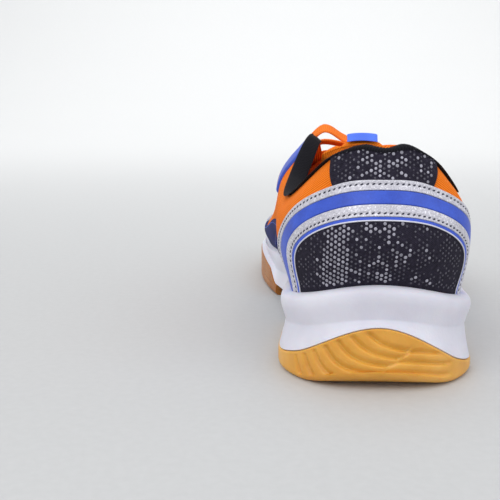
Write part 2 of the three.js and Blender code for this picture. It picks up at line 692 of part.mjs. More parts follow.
function eyeletTools(side) {
  const tools = [];
  for (let i = 0; i < EYELETS; i += 1) {
    const s = side * eyeletStation(i);
    const tool = new THREE.CylinderGeometry(EYELET_DIAMETER / 2, EYELET_DIAMETER / 2, 9, 8);
    const turn = new THREE.Quaternion().setFromUnitVectors(new THREE.Vector3(0, 1, 0), netFrame(s, EYELET_ROW).out);
    tool.applyQuaternion(turn);
    const centre = netPoint(s, EYELET_ROW);
    tool.translate(centre.x, centre.y, centre.z);
    tools.push(tool);
  }
  return tools;
}

const punchedQuarter = (side) => cut(quarter(side), eyeletTools(side));
const eyestay = (side) => cut(
  sidePanel(side, EYESTAY.start, EYESTAY.end, eyestayFoot, EYESTAY_ROWS), eyeletTools(side),
);

const LACE_GAP = 1.2;             // room left between the lace and the eyestay it runs over or under
const ABOVE = OVERLAY_OUT() + LACE_DIAMETER / 2 + LACE_GAP;
const BELOW = -SHELL_THICKNESS - LACE_DIAMETER / 2 - LACE_GAP;

// A point just past the edge of the eyestay, over or under it.
function pastEdge(s, out) {
  return layerPoint(s, 1, out).addScaledVector(netFrame(s, 1).up, LACE_DIAMETER);
}

// Up through an eyelet, over the edge, across the tongue and under the other edge to the station `to`.
function laceStrand(from, to, ending) {
  const start = layerPoint(from, EYELET_ROW, BELOW);
  const through = layerPoint(from, EYELET_ROW, 0);
  const over = layerPoint(from, EYELET_ROW, ABOVE);
  const leave = pastEdge(from, ABOVE * 0.8);
  const enter = pastEdge(to, BELOW);
  const middle = leave.clone().lerp(enter, 0.5);
  const route = [start, through, over, leave, middle, enter, ending];
  return new THREE.CatmullRomCurve3(route, false, 'centripetal');
}

function laceCrossing(i, side) {
  const to = -side * eyeletStation(i + 1);
  return laceStrand(side * eyeletStation(i), to, layerPoint(to, EYELET_ROW, BELOW));
}

// The two ends come out of the top eyelets, cross over and are tucked under the other side.
const TUCK_STATION = 5.6;
const TUCK_ROW = 0.8;
const AGLET_LENGTH = 14;

function tuckPoint(side, row) {
  return layerPoint(-side * TUCK_STATION, row, BELOW - LACE_DIAMETER);
}

const laceEnd = (side) => laceStrand(side * EYELET_LAST, -side * TUCK_STATION, tuckPoint(side, TUCK_ROW));

// Moulded tip on each end of the lace.
function aglet(side) {
  const curve = laceEnd(side);
  const tip = curve.getPoint(1);
  const ahead = curve.getTangent(1);
  const tube = new THREE.CylinderGeometry(LACE_DIAMETER / 2, LACE_DIAMETER / 2 + 0.2, AGLET_LENGTH, 10);
  tube.translate(0, AGLET_LENGTH / 2 + CLEARANCE, 0);
  tube.applyQuaternion(new THREE.Quaternion().setFromUnitVectors(new THREE.Vector3(0, 1, 0), ahead));
  tube.translate(tip.x, tip.y, tip.z);
  return fromManifold(toManifold(tube));
}

function laceSection() {
  const shape = new THREE.Shape();
  const sides = 6;
  for (let k = 0; k < sides; k += 1) {
    const angle = (2 * Math.PI * (k + 0.5)) / sides;
    const x = (Math.cos(angle) * LACE_DIAMETER) / 2;
    const y = (Math.sin(angle) * LACE_DIAMETER) / 2;
    if (k === 0) shape.moveTo(x, y);
    else shape.lineTo(x, y);
  }
  shape.closePath();
  return shape;
}

const tubeAlong = (curve, steps) => new THREE.ExtrudeGeometry(laceSection(), { steps, extrudePath: curve });

const STRAND_STEPS = 10;

function lace() {
  const pieces = [];
  for (let i = 0; i < EYELETS - 1; i += 1) {
    pieces.push(tubeAlong(laceCrossing(i, 1), STRAND_STEPS), tubeAlong(laceCrossing(i, -1), STRAND_STEPS));
  }
  pieces.push(tubeAlong(laceEnd(1), STRAND_STEPS), tubeAlong(laceEnd(-1), STRAND_STEPS));
  const bar = [-1, 1].map((side) => layerPoint(side * eyeletStation(0), EYELET_ROW, BELOW));
  const rise = new THREE.Vector3(0, 0, 1.5);
  const barCurve = new THREE.CatmullRomCurve3([bar[0], bar[0].clone().lerp(bar[1], 0.5).add(rise), bar[1]]);
  pieces.push(tubeAlong(barCurve, 8));
  return join(pieces);
}

// ---------- tongue ----------
// Middle line of the tongue's upper face from the toes to its top edge.
const TONGUE_LINE = [
  [0, 214, 40], [0, 190, 43.5], [0, 165, 52.5], [0, 140, 64], [-0.5, 118, 76], [-1.5, 104, 82.5], [-2.5, 94, 87],
].map(sized);
const TONGUE_DROP = [3, 5, 8, 9.5, 11, 12.5, 13];
const TONGUE_WIDTH = [14, 20, 23, 24, 24, 21.5, 19];
const TONGUE_THICKNESS = [2, 3, 4, 5, 6, 6.5, 6.5];
const tongueScale = widthScale(120);

function tonguePoint(t, across, depth) {
  const step = 0.05;
  const centre = along(TONGUE_LINE, t);
  const ahead = along(TONGUE_LINE, t + step).sub(along(TONGUE_LINE, t - step)).normalize();
  const up = new THREE.Vector3(1, 0, 0).cross(ahead).negate().normalize();
  const drop = between(TONGUE_DROP, t) * across * across;
  const out = centre.clone();
  out.x += across * between(TONGUE_WIDTH, t) * tongueScale;
  out.z -= drop;
  const lean = new THREE.Vector3((across * drop) / 18, 0, 0);
  return out.addScaledVector(up.add(lean).normalize(), -depth);
}

function tonguePlace(y) {
  let low = 0;
  let high = TONGUE_LINE.length - 1;
  for (let i = 0; i < 30; i += 1) {
    const middle = (low + high) / 2;
    if (along(TONGUE_LINE, middle).y > y) low = middle;
    else high = middle;
  }
  return low;
}

function tongueSheet(start, end, steps, reach, outer, inner) {
  const surface = (depth) => Array.from({ length: steps + 1 }, (unused, i) => {
    const t = lerp(start, end, i / steps);
    const places = [-1, -0.75, -0.5, -0.25, 0, 0.25, 0.5, 0.75, 1];
    return places.map((across) => tonguePoint(t, across * reach, depth(t, across)));
  });
  return thickSheet(surface(outer), surface(inner));
}

const tongueEdge = (across) => Math.sqrt(Math.max(0, 1 - across ** 4));
const tongueDepth = (t, across) => 1.2 + (between(TONGUE_THICKNESS, t) - 1.2) * tongueEdge(across);
const HINGE_PLACE = tonguePlace(TONGUE_HINGE_Y * lengthScale + TONGUE_FOLD_GAP / 2);
const FLAP_PLACE = tonguePlace(TONGUE_HINGE_Y * lengthScale - TONGUE_FOLD_GAP / 2);
const TONGUE_END = TONGUE_LINE.length - 1;

const tongueBase = () => tongueSheet(0, HINGE_PLACE, 12, 1, () => 0, tongueDepth);
const tongueFlap = () => tongueSheet(FLAP_PLACE, TONGUE_END, 6, 1, () => 0, tongueDepth);

// Pull tab sewn on the face of the tongue, standing a little above its top edge.
function tongueLabel() {
  const reach = LABEL_WIDTH / 2 / (TONGUE_HALF_WIDTH * tongueScale);
  const start = FLAP_PLACE + 0.35;
  return tongueSheet(start, TONGUE_END + 0.18, 4, reach, () => -CLEARANCE - 1.2, () => -CLEARANCE);
}

// ---------- assembly ----------
const COLOURS = {
  gum: '#dd9a3c', foam: '#e4e3ee', board: '#c9c2b2', liner: '#2b2a33', mesh: '#ff8420', charcoal: '#322e3c',
  silver: '#cfccd8', blue: '#3559d6', navy: '#26286b', black: '#17161c', plate: '#3a3c48', insert: '#6fb7d8',
};

const shoe = new THREE.Group();
const addPiece = (name, geometry, colour, roughness = 0.8, metalness = 0) => {
  const bare = geometry.clone();
  bare.computeVertexNormals();
  const material = new THREE.MeshStandardMaterial({ color: COLOURS[colour], roughness, metalness });
  const mesh = new THREE.Mesh(bare, material);
  mesh.name = name;
  shoe.add(mesh);
};

addPiece('heel_outsole', heelOutsole(), 'gum', 0.55);
addPiece('forefoot_outsole', forefootOutsole(), 'gum', 0.55);
addPiece('midfoot_shank', midfootShank(), 'plate', 0.4);
addPiece('midsole', midsole(), 'foam', 0.7);
addPiece('heel_cushion_insert', insertPad(HEEL_INSERT), 'insert', 0.6);
addPiece('forefoot_cushion_insert', insertPad(FOREFOOT_INSERT), 'insert', 0.6);
addPiece('strobel_board', strobelBoard(), 'board', 0.9);
addPiece('sockliner', sockliner(), 'liner', 0.9);
addPiece('lateral_quarter', punchedQuarter(1), 'mesh', 0.9);
addPiece('medial_quarter', punchedQuarter(-1), 'mesh', 0.9);
addPiece('toe_vamp', toeVamp(), 'mesh', 0.9);
addPiece('toe_puff', toePuff(), 'board', 0.9);
addPiece('heel_lining', heelLining(), 'black', 0.9);
addPiece('collar_foam', collarFoam(), 'insert', 0.9);
addPiece('heel_counter', heelCounter(), 'board', 0.6);
addPiece('collar_binding', collarBinding(), 'black', 0.95);
addPiece('heel_lower_panel', heelLowerPanel(), 'charcoal', 0.85);
addPiece('arch_piping', archBand(PIPING_EDGES[0], PIPING_EDGES[1]), 'blue', 0.5);
addPiece('inner_silver_band', archBand(ARCH_EDGES[0], ARCH_EDGES[1]), 'silver', 0.35, 0.4);
addPiece('blue_band', archBand(ARCH_EDGES[1], ARCH_EDGES[2]), 'blue', 0.5);
addPiece('outer_silver_band', archBand(ARCH_EDGES[2], ARCH_EDGES[3]), 'silver', 0.35, 0.4);
addPiece('heel_tab_panel', heelTabPanel(), 'charcoal', 0.85);
addPiece('lateral_lower_overlay', lowerQuarter(1), 'navy', 0.5);
addPiece('medial_lower_overlay', lowerQuarter(-1), 'navy', 0.5);
addPiece('lateral_eyestay', eyestay(1), 'blue', 0.5);
addPiece('medial_eyestay', eyestay(-1), 'blue', 0.5);
addPiece('toe_guard', toeGuard(), 'silver', 0.5);
addPiece('tongue_base', tongueBase(), 'mesh', 0.9);
addPiece('tongue_flap', tongueFlap(), 'mesh', 0.9);
addPiece('tongue_label', tongueLabel(), 'blue', 0.6);
addPiece('lace', lace(), 'mesh', 0.8);
addPiece('lateral_aglet', aglet(1), 'mesh', 0.3);
addPiece('medial_aglet', aglet(-1), 'mesh', 0.3);

// The origin is under the middle of the shoe, on the ground.
const box = new THREE.Box3().setFromObject(shoe);
shoe.position.set(-(box.min.x + box.max.x) / 2, -(box.min.y + box.max.y) / 2, -box.min.z);

export default shoe;
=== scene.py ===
"""Looks of a low-cut court shoe, right foot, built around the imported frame.

Sizes are millimetres in shoe coordinates: heel back at y = 0, toe towards +y, outer side +x, ground at z = 0.
The upper is a net of ribs. s runs round the shoe: 0 at the heel back, 10 at the toe tip, negative on the
inner side. v runs up a rib: -1 at the footbed, 0 at the midsole rim, 1 at the top edge.
"""

import math

import bmesh
import bpy
import numpy as np
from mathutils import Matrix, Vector


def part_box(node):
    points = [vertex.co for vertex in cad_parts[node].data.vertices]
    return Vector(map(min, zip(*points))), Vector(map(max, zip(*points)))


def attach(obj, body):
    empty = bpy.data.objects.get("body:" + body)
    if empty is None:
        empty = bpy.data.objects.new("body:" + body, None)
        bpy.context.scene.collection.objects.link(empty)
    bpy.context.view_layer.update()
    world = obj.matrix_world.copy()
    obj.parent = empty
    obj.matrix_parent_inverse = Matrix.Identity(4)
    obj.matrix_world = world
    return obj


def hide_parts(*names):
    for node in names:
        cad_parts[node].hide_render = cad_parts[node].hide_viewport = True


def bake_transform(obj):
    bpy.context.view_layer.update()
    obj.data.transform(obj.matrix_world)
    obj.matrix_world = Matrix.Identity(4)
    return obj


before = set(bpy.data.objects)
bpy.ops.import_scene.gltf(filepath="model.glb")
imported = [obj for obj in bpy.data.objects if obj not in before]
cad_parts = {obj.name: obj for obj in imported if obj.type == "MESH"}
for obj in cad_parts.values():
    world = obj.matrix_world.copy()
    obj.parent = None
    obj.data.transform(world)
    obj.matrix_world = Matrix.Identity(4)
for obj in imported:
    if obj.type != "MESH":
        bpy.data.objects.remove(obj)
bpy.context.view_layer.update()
MM = 0.001
SIDES = ((1, "lateral"), (-1, "medial"))
rng = np.random.default_rng(12)

# ---------- sizes shared with the solid model ----------
GAP = 0.4
TOE_SPRING, TOE_SPRING_START = 9, 218
HEEL_BEVEL, HEEL_BEVEL_LENGTH = 6, 17
SHOE_LENGTH = 292
OUTSOLE_THICKNESS, OUTSOLE_WALL, OUTSOLE_EDGE = 4.5, 1.8, 2.5
RIM_LIP, MIDSOLE_WAIST, LIP_SWELL, CUP_TAPER = 1.4, 0.7, 1.4, 4.4
SHELL_THICKNESS, LINING_THICKNESS, OVERLAY_THICKNESS = 1.2, 1.0, 0.8
COUNTER_THICKNESS, COLLAR_PADDING, COLLAR_TAPER = 1.6, 3.2, 0.5
BOARD_THICKNESS, SOCKLINER_THICKNESS = 1.6, 4
BINDING_HEIGHT = 2.2
EYELETS, EYELET_DIAMETER = 6, 6.4
EYELET_FIRST, EYELET_LAST, EYELET_ROW = 7.25, 5.25, 0.88
MIDSOLE_INSET = OUTSOLE_WALL + GAP
HEEL_OUTSOLE_END, FOREFOOT_OUTSOLE_START = 4.15, 5.6
RIM_INSET = MIDSOLE_INSET + MIDSOLE_WAIST + 1.4
FEATHER_INSET = RIM_INSET + RIM_LIP + GAP
BOARD_INSET = FEATHER_INSET + CUP_TAPER + 4
TOE = 10
RIDGE_START = 8
FLUSH_INSET = 0.45          # only here: the midsole flares out to this inset, to meet the rubber's edge

HEEL_BACK, TOE_TIP = (-2, 0), (-5, 292)
OUTLINE_LATERAL = [(20, 5.5), (36, 26), (39, 54), (41, 90), (45.5, 130), (51.5, 170), (52, 206), (47, 243),
                   (30, 276)]
OUTLINE_MEDIAL = [(-23, 5.5), (-38, 27), (-38.5, 56), (-35, 93), (-36.5, 132), (-46.5, 170), (-51.5, 205),
                  (-50, 243), (-37, 276)]
RIM_HEIGHT = [39, 36.5, 31.5, 29.5, 27.5, 25, 22.5, 21, 20, 19.5, 20]
CREASE_HEIGHT = [24.5, 23, 19.5, 18, 16, 14, 12.5, 11.5, 11.5, 12, 13]
FLOOR_HEIGHT = [20, 20, 20, 19.5, 18, 15.5, 13, 12, 12, 12, 12]
HEEL_WALL_TOP = {"medial": [20.3, 15, 8, 7, 7, 7], "lateral": [20.3, 13.5, 5.5, 5, 5, 5]}
TOE_WALL_TOP = {"medial": [0, 0, 0, 0, 0, 8, 13, 16.5, 16, 15, 17],
                "lateral": [0, 0, 0, 0, 0, 8, 10, 13, 13, 14, 17]}
LATERAL = {
    "low": [(17, 4.5, 56), (32, 22, 53), (35.5, 50, 47), (38, 88, 44), (42, 127, 42), (49, 165, 35),
            (48.5, 200, 31), (41.5, 235, 31), (25, 267, 32)],
    "high": [(14.5, 8, 73), (29, 20, 69), (35, 46, 60), (37, 82, 60), (37, 115, 64), (40, 156, 54),
             (35, 190, 45), (27.5, 222, 43.5), (17, 256, 42.5)],
    "top": [(8.5, 9.5, 89.5), (18.5, 16.5, 83), (31, 44, 70), (31, 75, 70), (25.5, 103, 80.5),
            (16, 146, 65.5), (10.5, 180, 52.5), (0, 205, 50.5), (-1, 240, 47)],
}
MEDIAL = {
    "low": [(-20, 4.5, 56), (-34, 23, 53), (-39.5, 53, 46), (-39.5, 91, 44), (-40.5, 128, 43), (-45, 165, 36),
            (-48, 200, 31.5), (-45, 236, 31), (-33, 267, 32)],
    "high": [(-17.5, 8, 73), (-31, 21, 69), (-39.5, 49, 59), (-40.5, 86, 61), (-39, 116, 69), (-38, 155, 56),
             (-36, 190, 46), (-31, 223, 44), (-24, 256, 42.5)],
    "top": [(-10.5, 9.5, 89.5), (-20.5, 17, 84.5), (-35, 47, 67.5), (-34.5, 77, 71.5), (-24, 107, 89),
            (-16.5, 146, 67), (-10.5, 180, 53), (0, 205, 50.5), (-1, 240, 47)],
}
HEEL_RIB = {"low": (-1.8, -1, 57), "high": (-1.5, 3, 74), "top": (-1, 8, 88.5)}
TOE_RIB = {"low": (-6, 284, 32), "high": (-5, 276, 39), "top": (-3, 264, 43)}


# ---------- curves ----------
def smooth(x, low, high):
    t = np.clip((np.asarray(x, float) - low) / (high - low), 0, 1)
    return t * t * (3 - 2 * t)


def mix(a, b, share):
    return a + (b - a) * share


def unit(vectors):
    return vectors / np.maximum(np.linalg.norm(vectors, axis=-1, keepdims=True), 1e-9)


def cubic(a, b, c, d, t):
    return 0.5 * (2 * b + (c - a) * t + (2 * a - 5 * b + 4 * c - d) * t**2 + (3 * b - a - 3 * c + d) * t**3)


def run_length(points):
    """Distance along a line of points, at each of them."""
    return np.concatenate([[0], np.cumsum(np.linalg.norm(np.diff(points, axis=0), axis=1))])


def along(points, place, closed=False):
    """Curve through points, at place counted in points. Ends carry on straight unless the curve closes."""
    points = np.asarray(points, float)
    place = np.asarray(place, float)
    count = len(points)
    if closed:
        i = np.floor(place).astype(int)
        four = [points[(i + k) % count] for k in (-1, 0, 1, 2)]
    else:
        longer = np.vstack([2 * points[0] - points[1], points, 2 * points[-1] - points[-2]])
        i = np.clip(np.floor(place).astype(int), 0, count - 2)
        four = [longer[i + 1 + k] for k in (-1, 0, 1, 2)]
    return cubic(*four, (place - i)[..., None])


def between(values, station):
    """A value given at the stations, read between them; it levels out at both ends."""
    values = np.asarray(values, float)
    station = np.asarray(station, float)
    last = len(values) - 1
    i = np.minimum(np.floor(station).astype(int), last - 1)
    four = [values[last - np.abs(last - np.abs(i + k))] for k in (-1, 0, 1, 2)]
    return cubic(*four, station - i)


def sided(values, s):
    medial, lateral = (between(values[side], np.abs(s)) for side in ("medial", "lateral"))
    return np.where(np.asarray(s) < 0, medial, lateral)


# ---------- the sole's outline and the net of the upper ----------
def closed_row(heel, lateral, toe, medial):
    return np.array([heel, *lateral, toe, *reversed(medial)], float)


OUTLINE = closed_row(HEEL_BACK, OUTLINE_LATERAL, TOE_TIP, OUTLINE_MEDIAL)
LOW_ROW = closed_row(HEEL_RIB["low"], LATERAL["low"], TOE_RIB["low"], MEDIAL["low"])
HIGH_ROW = closed_row(HEEL_RIB["high"], LATERAL["high"], TOE_RIB["high"], MEDIAL["high"])
TOP_ROW = [*reversed(MEDIAL["top"][:RIDGE_START]), HEEL_RIB["top"], *LATERAL["top"][:RIDGE_START]]
RIDGE_ROW = [LATERAL["top"][RIDGE_START - 1], LATERAL["top"][RIDGE_START], TOE_RIB["top"]]

outline_steps = along(OUTLINE, np.linspace(0, 2 * TOE, 2001), closed=True)
toe_of_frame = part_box("forefoot_outsole")
ORIGIN = np.array([
    toe_of_frame[0].x - outline_steps[:, 0].min() * MM,
    toe_of_frame[1].y - outline_steps[:, 1].max() * MM,
    0,
])


def ring_place(s):
    return np.where(s < 0, s + 2 * TOE, s)


def ground_rise(y):
    bevel = np.maximum(0, HEEL_BEVEL_LENGTH - y) / HEEL_BEVEL_LENGTH
    spring = np.maximum(0, y - TOE_SPRING_START) / (SHOE_LENGTH - TOE_SPRING_START)
    return HEEL_BEVEL * bevel**2 + TOE_SPRING * spring**2


def sole_point(s, inset, height):
    s, inset, height = np.broadcast_arrays(*(np.asarray(a, float) for a in (s, inset, height)))
    step = 0.01
    place = ring_place(s)
    here = along(OUTLINE, place, closed=True)
    ahead = unit(along(OUTLINE, place + step, closed=True) - along(OUTLINE, place - step, closed=True))
    x = here[..., 0] - ahead[..., 1] * inset
    y = here[..., 1] + ahead[..., 0] * inset
    return np.stack([x, y, height + ground_rise(y) * smooth(height, 60, 0)], axis=-1)


def top_edge(s):
    station = np.abs(s)
    collar = along(TOP_ROW, np.clip(s, -RIDGE_START, RIDGE_START) + RIDGE_START)
    ridge = along(RIDGE_ROW, np.maximum(station - RIDGE_START, 0))
    return np.where((station <= RIDGE_START)[..., None], collar, ridge)


def net_point(s, v):
    s, v = np.broadcast_arrays(np.asarray(s, float), np.asarray(v, float))
    station = np.abs(s)
    feather = sole_point(s, FEATHER_INSET, between(RIM_HEIGHT, station) - GAP)
    floor = sole_point(s, FEATHER_INSET + CUP_TAPER, between(FLOOR_HEIGHT, station) + GAP)
    low = along(LOW_ROW, ring_place(s), closed=True)
    high = along(HIGH_ROW, ring_place(s), closed=True)
    across = along(HIGH_ROW, ring_place(-s), closed=True)
    top = top_edge(s)
    over_ridge = smooth(station, RIDGE_START - 0.8, RIDGE_START)[..., None]
    rib = np.stack([2 * feather - low, feather, low, high, top, mix(2 * top - high, across, over_ridge)])
    place = np.clip(v * 3, 0, 2.9999)
    i = np.floor(place).astype(int)[None, ..., None]
    four = [np.take_along_axis(rib, np.broadcast_to(i + k, (1, *feather.shape)), axis=0)[0] for k in range(4)]
    upper = cubic(*four, (place - i[0, ..., 0])[..., None])
    return np.where((v < 0)[..., None], mix(feather, floor, -v[..., None]), upper)


def net_frame(s, v):
    """Directions at a point of the net: out of the shoe, and up the rib."""
    s, v = np.broadcast_arrays(np.asarray(s, float), np.asarray(v, float))
    ds, dv = 0.02, 0.01
    low_v = np.where(v > 1 - dv, v - dv, v)
    ahead = net_point(s + ds, v) - net_point(s - ds, v)
    up = net_point(s, low_v + dv) - net_point(s, np.maximum(low_v - dv, -1))
    return unit(np.cross(ahead, up)), unit(up)


def layer_point(s, v, out):
    """A point of a layer of the upper, at the distance out from the net."""
    s, v, out = np.broadcast_arrays(*(np.asarray(a, float) for a in (s, v, out)))
    near = TOE - 0.05
    normal = net_frame(np.clip(s, -near, near), v)[0]
    tip = np.abs(s) > near
    if tip.any():
        normal[tip] = unit(net_frame(near, v[tip])[0] + net_frame(-near, v[tip])[0])
    return net_point(s, v) + normal * out[..., None]


# ---------- meshes ----------
def add_object(name, data):
    obj = bpy.data.objects.new(name, data)
    bpy.context.scene.collection.objects.link(obj)
    return obj


def turn_faces_out(mesh, weld=False):
    tidy = bmesh.new()
    tidy.from_mesh(mesh)
    if weld:
        bmesh.ops.remove_doubles(tidy, verts=tidy.verts, dist=1e-6)
        bmesh.ops.dissolve_degenerate(tidy, edges=tidy.edges, dist=1e-6)
    bmesh.ops.recalc_face_normals(tidy, faces=tidy.faces)
    tidy.to_mesh(mesh)
    tidy.free()


def place_piece(obj, body, material, hides=()):
    obj.data.materials.append(material)
    if hides:
        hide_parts(*hides)
    if body:
        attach(obj, body)
    return obj


def piece(name, points, faces, uv, material, slot_name, body="shoe_body", hides=(), crease=50):
    """Mesh from points in shoe millimetres and faces as lists of vertex numbers. uv is in millimetres."""
    mesh = bpy.data.meshes.new(name)
    mesh.from_pydata((np.asarray(points) * MM + ORIGIN).tolist(), [], faces)
    if uv is not None:
        corners = np.zeros(len(mesh.loops), np.int32)
        mesh.loops.foreach_get("vertex_index", corners)
        mesh.uv_layers.new(name="UVMap").data.foreach_set("uv", np.asarray(uv, np.float32)[corners].ravel())
    turn_faces_out(mesh, weld=True)
    mesh.shade_smooth()
    mesh.set_sharp_from_angle(angle=math.radians(crease))
    return place_piece(add_object(name, mesh), body, material, hides)


def grid_faces(columns, rows, first=0, wrap_columns=False, wrap_rows=False):
    i = np.arange(columns if wrap_columns else columns - 1)
    j = np.arange(rows if wrap_rows else rows - 1)
    i, j = (a.ravel() for a in np.meshgrid(i, j, indexing="ij"))
    i1, j1 = (i + 1) % columns, (j + 1) % rows
    corners = [i * rows + j, i1 * rows + j, i1 * rows + j1, i * rows + j1]
    return (np.stack(corners, axis=1) + first).tolist()


def end_caps(columns, rows, first=0):
    """The two faces that close a tube of rows points round, columns long."""
    last = first + (columns - 1) * rows
    return [[first + j for j in range(rows)], [last + j for j in reversed(range(rows))]]


def metric(points, zero_column=0, zero_row=0):
    """Distances in millimetres along the two directions of a grid of points, for weave and prints."""
    def run(axis):
        steps = np.linalg.norm(np.diff(points, axis=axis), axis=-1)
        start = np.zeros_like(np.take(steps, [0], axis=axis))
        return np.concatenate([start, np.cumsum(steps, axis=axis)], axis=axis)
    u, w = run(0), run(1)
    return np.stack([u - u[zero_column][None, :], w - w[:, zero_row][:, None]], axis=-1)


def thick_sheet(name, outer, inner, uv, material, slot_name, **options):
    columns, rows = outer.shape[:2]
    count = columns * rows
    faces = grid_faces(columns, rows) + grid_faces(columns, rows, count)
    edge = [i * rows for i in range(columns)] + [(columns - 1) * rows + j for j in range(1, rows)]
    edge += [i * rows + rows - 1 for i in range(columns - 2, -1, -1)] + list(range(rows - 2, 0, -1))
    for a, b in zip(edge, edge[1:] + edge[:1]):
        faces.append([a, b, b + count, a + count])
    points = np.concatenate([outer.reshape(-1, 3), inner.reshape(-1, 3)])
    depth = np.linalg.norm(outer - inner, axis=-1)
    under = uv + np.stack([0 * depth, depth], axis=-1)
    both = np.concatenate([uv.reshape(-1, 2), under.reshape(-1, 2)])
    return piece(name, points, faces, both, material, slot_name, **options)


def layer(name, s, v, outer, inner, material, slot_name, **options):
    """Sheet of the upper over the grid s, v, between two distances from the net."""
    base = net_point(s, v)
    zero_column = int(np.argmin(np.abs(s[:, 0])))
    zero_row = int(np.argmin(np.abs(v[s.shape[0] // 2])))
    uv = metric(base, zero_column, zero_row)
    faces = layer_point(s, v, outer), layer_point(s, v, inner)
    return thick_sheet(name, *faces, uv, material, slot_name, **options)


def rounded(share, rim=0.06):
    """Height of a rounded border: 0 at both ends of 0..1 and 1 in the middle."""
    inside = np.clip(np.minimum(share, 1 - share) / rim, 0, 1)
    return np.sqrt(1 - (1 - inside) ** 2)


def edged(count, rim=0.06):
    """Shares from 0 to 1, closer together at both ends, where the border is rounded."""
    border = rim * np.array([0, 0.08, 0.3, 0.65])
    return np.concatenate([border, np.linspace(rim, 1 - rim, count), 1 - border[::-1]])


def overlay(name, s, v, across, lengthways, material, slot_name, relief=0, **options):
    """Panel bonded on the mesh. across and lengthways are shares over the panel, for its rounded border."""
    height = 0.12 + 0.88 * rounded(across, 0.06) * rounded(lengthways, 0.012)
    outer = GAP * 0.2 + (OVERLAY_THICKNESS + GAP * 0.8) * height + relief
    return layer(name, s, v, outer, -0.1, material, slot_name, **options)


def scatter(name, centres, ahead, normal, size, shape, material, slot_name, tones=None, **options):
    """Copies of a small shape (points and faces) on a surface. size is each copy's length, width, height."""
    points, faces = shape
    side = unit(np.cross(normal, ahead))
    ahead = unit(np.cross(side, normal))
    size = np.broadcast_to(np.asarray(size, float), (len(centres), 3))
    axes = np.stack([ahead, side, normal], axis=1) * size[:, :, None]
    placed = np.einsum("pk,nkx->npx", points, axes) + centres[:, None, :]
    step = len(points)
    every = [[k * step + i for i in face] for k in range(len(centres)) for face in faces]
    obj = piece(name, placed.reshape(-1, 3), every, None, material, slot_name, **options)
    if tones is not None:
        tone = obj.data.color_attributes.new("tone", "FLOAT_COLOR", "POINT")
        values = np.repeat(tones, step)
        if len(values) == len(tone.data):
            tone.data.foreach_set("color", np.repeat(values[:, None], 4, axis=1).astype(np.float32).ravel())
    return obj


def capsule(rings=5, sides=8):
    """Rounded stitch, one unit long, wide and high, half sunk in the surface."""
    points = [(-0.5, 0, 0)]
    for i in range(1, rings):
        angle = math.pi * i / rings
        for k in range(sides):
            turn = 2 * math.pi * k / sides
            radius = 0.5 * math.sin(angle) ** 0.5
            points.append((-0.5 * math.cos(angle), radius * math.cos(turn), radius * math.sin(turn)))
    points.append((0.5, 0, 0))
    faces = [[0, 1 + (k + 1) % sides, 1 + k] for k in range(sides)]
    for i in range(rings - 2):
        for k in range(sides):
            a, b = 1 + i * sides + k, 1 + i * sides + (k + 1) % sides
            faces.append([a, b, b + sides, a + sides])
    last = len(points) - 1
    start = 1 + (rings - 2) * sides
    faces += [[last, start + k, start + (k + 1) % sides] for k in range(sides)]
    return np.array(points), faces


def dome(sides=9):
    """Low round drop of print, one unit across and high."""
    points = [(0, 0, 1)]
    for radius, height in ((0.3, 0.92), (0.46, 0.55), (0.5, -0.6)):
        for k in range(sides):
            turn = 2 * math.pi * k / sides
            points.append((radius * math.cos(turn), radius * math.sin(turn), height))
    faces = [[0, 1 + k, 1 + (k + 1) % sides] for k in range(sides)]
    for ring in range(2):
        for k in range(sides):
            a, b = 1 + ring * sides + k, 1 + ring * sides + (k + 1) % sides
            faces.append([a, a + sides, b + sides, b])
    faces.append([1 + 2 * sides + k for k in reversed(range(sides))])
    return np.array(points), faces


def stitch_row(name, s, v, out, pitch, size, material, slot_name, turn=0, **options):
    """Stitches at an equal pitch along a line of the net. turn leans each stitch out of the line."""
    points = layer_point(s, v, out)
    normals = net_frame(s, v)[0]
    return stitch_line(name, points, normals, pitch, size, material, slot_name, turn, **options)


def stitch_line(name, points, normals, pitch, size, material, slot_name, turn=0, **options):
    run = run_length(points)
    places = np.arange(pitch / 2, run[-1], pitch)
    pick = lambda values, at: np.stack([np.interp(at, run, values[:, k]) for k in range(3)], axis=1)
    centres = pick(points, places)
    ahead = unit(pick(points, places + 0.3) - pick(points, places - 0.3))
    normal = unit(pick(normals, places))
    side = np.cross(normal, ahead)
    leaning = ahead * math.cos(turn) + side * math.sin(turn)
    return scatter(name, centres, leaning, normal, size, capsule(), material, slot_name, **options)


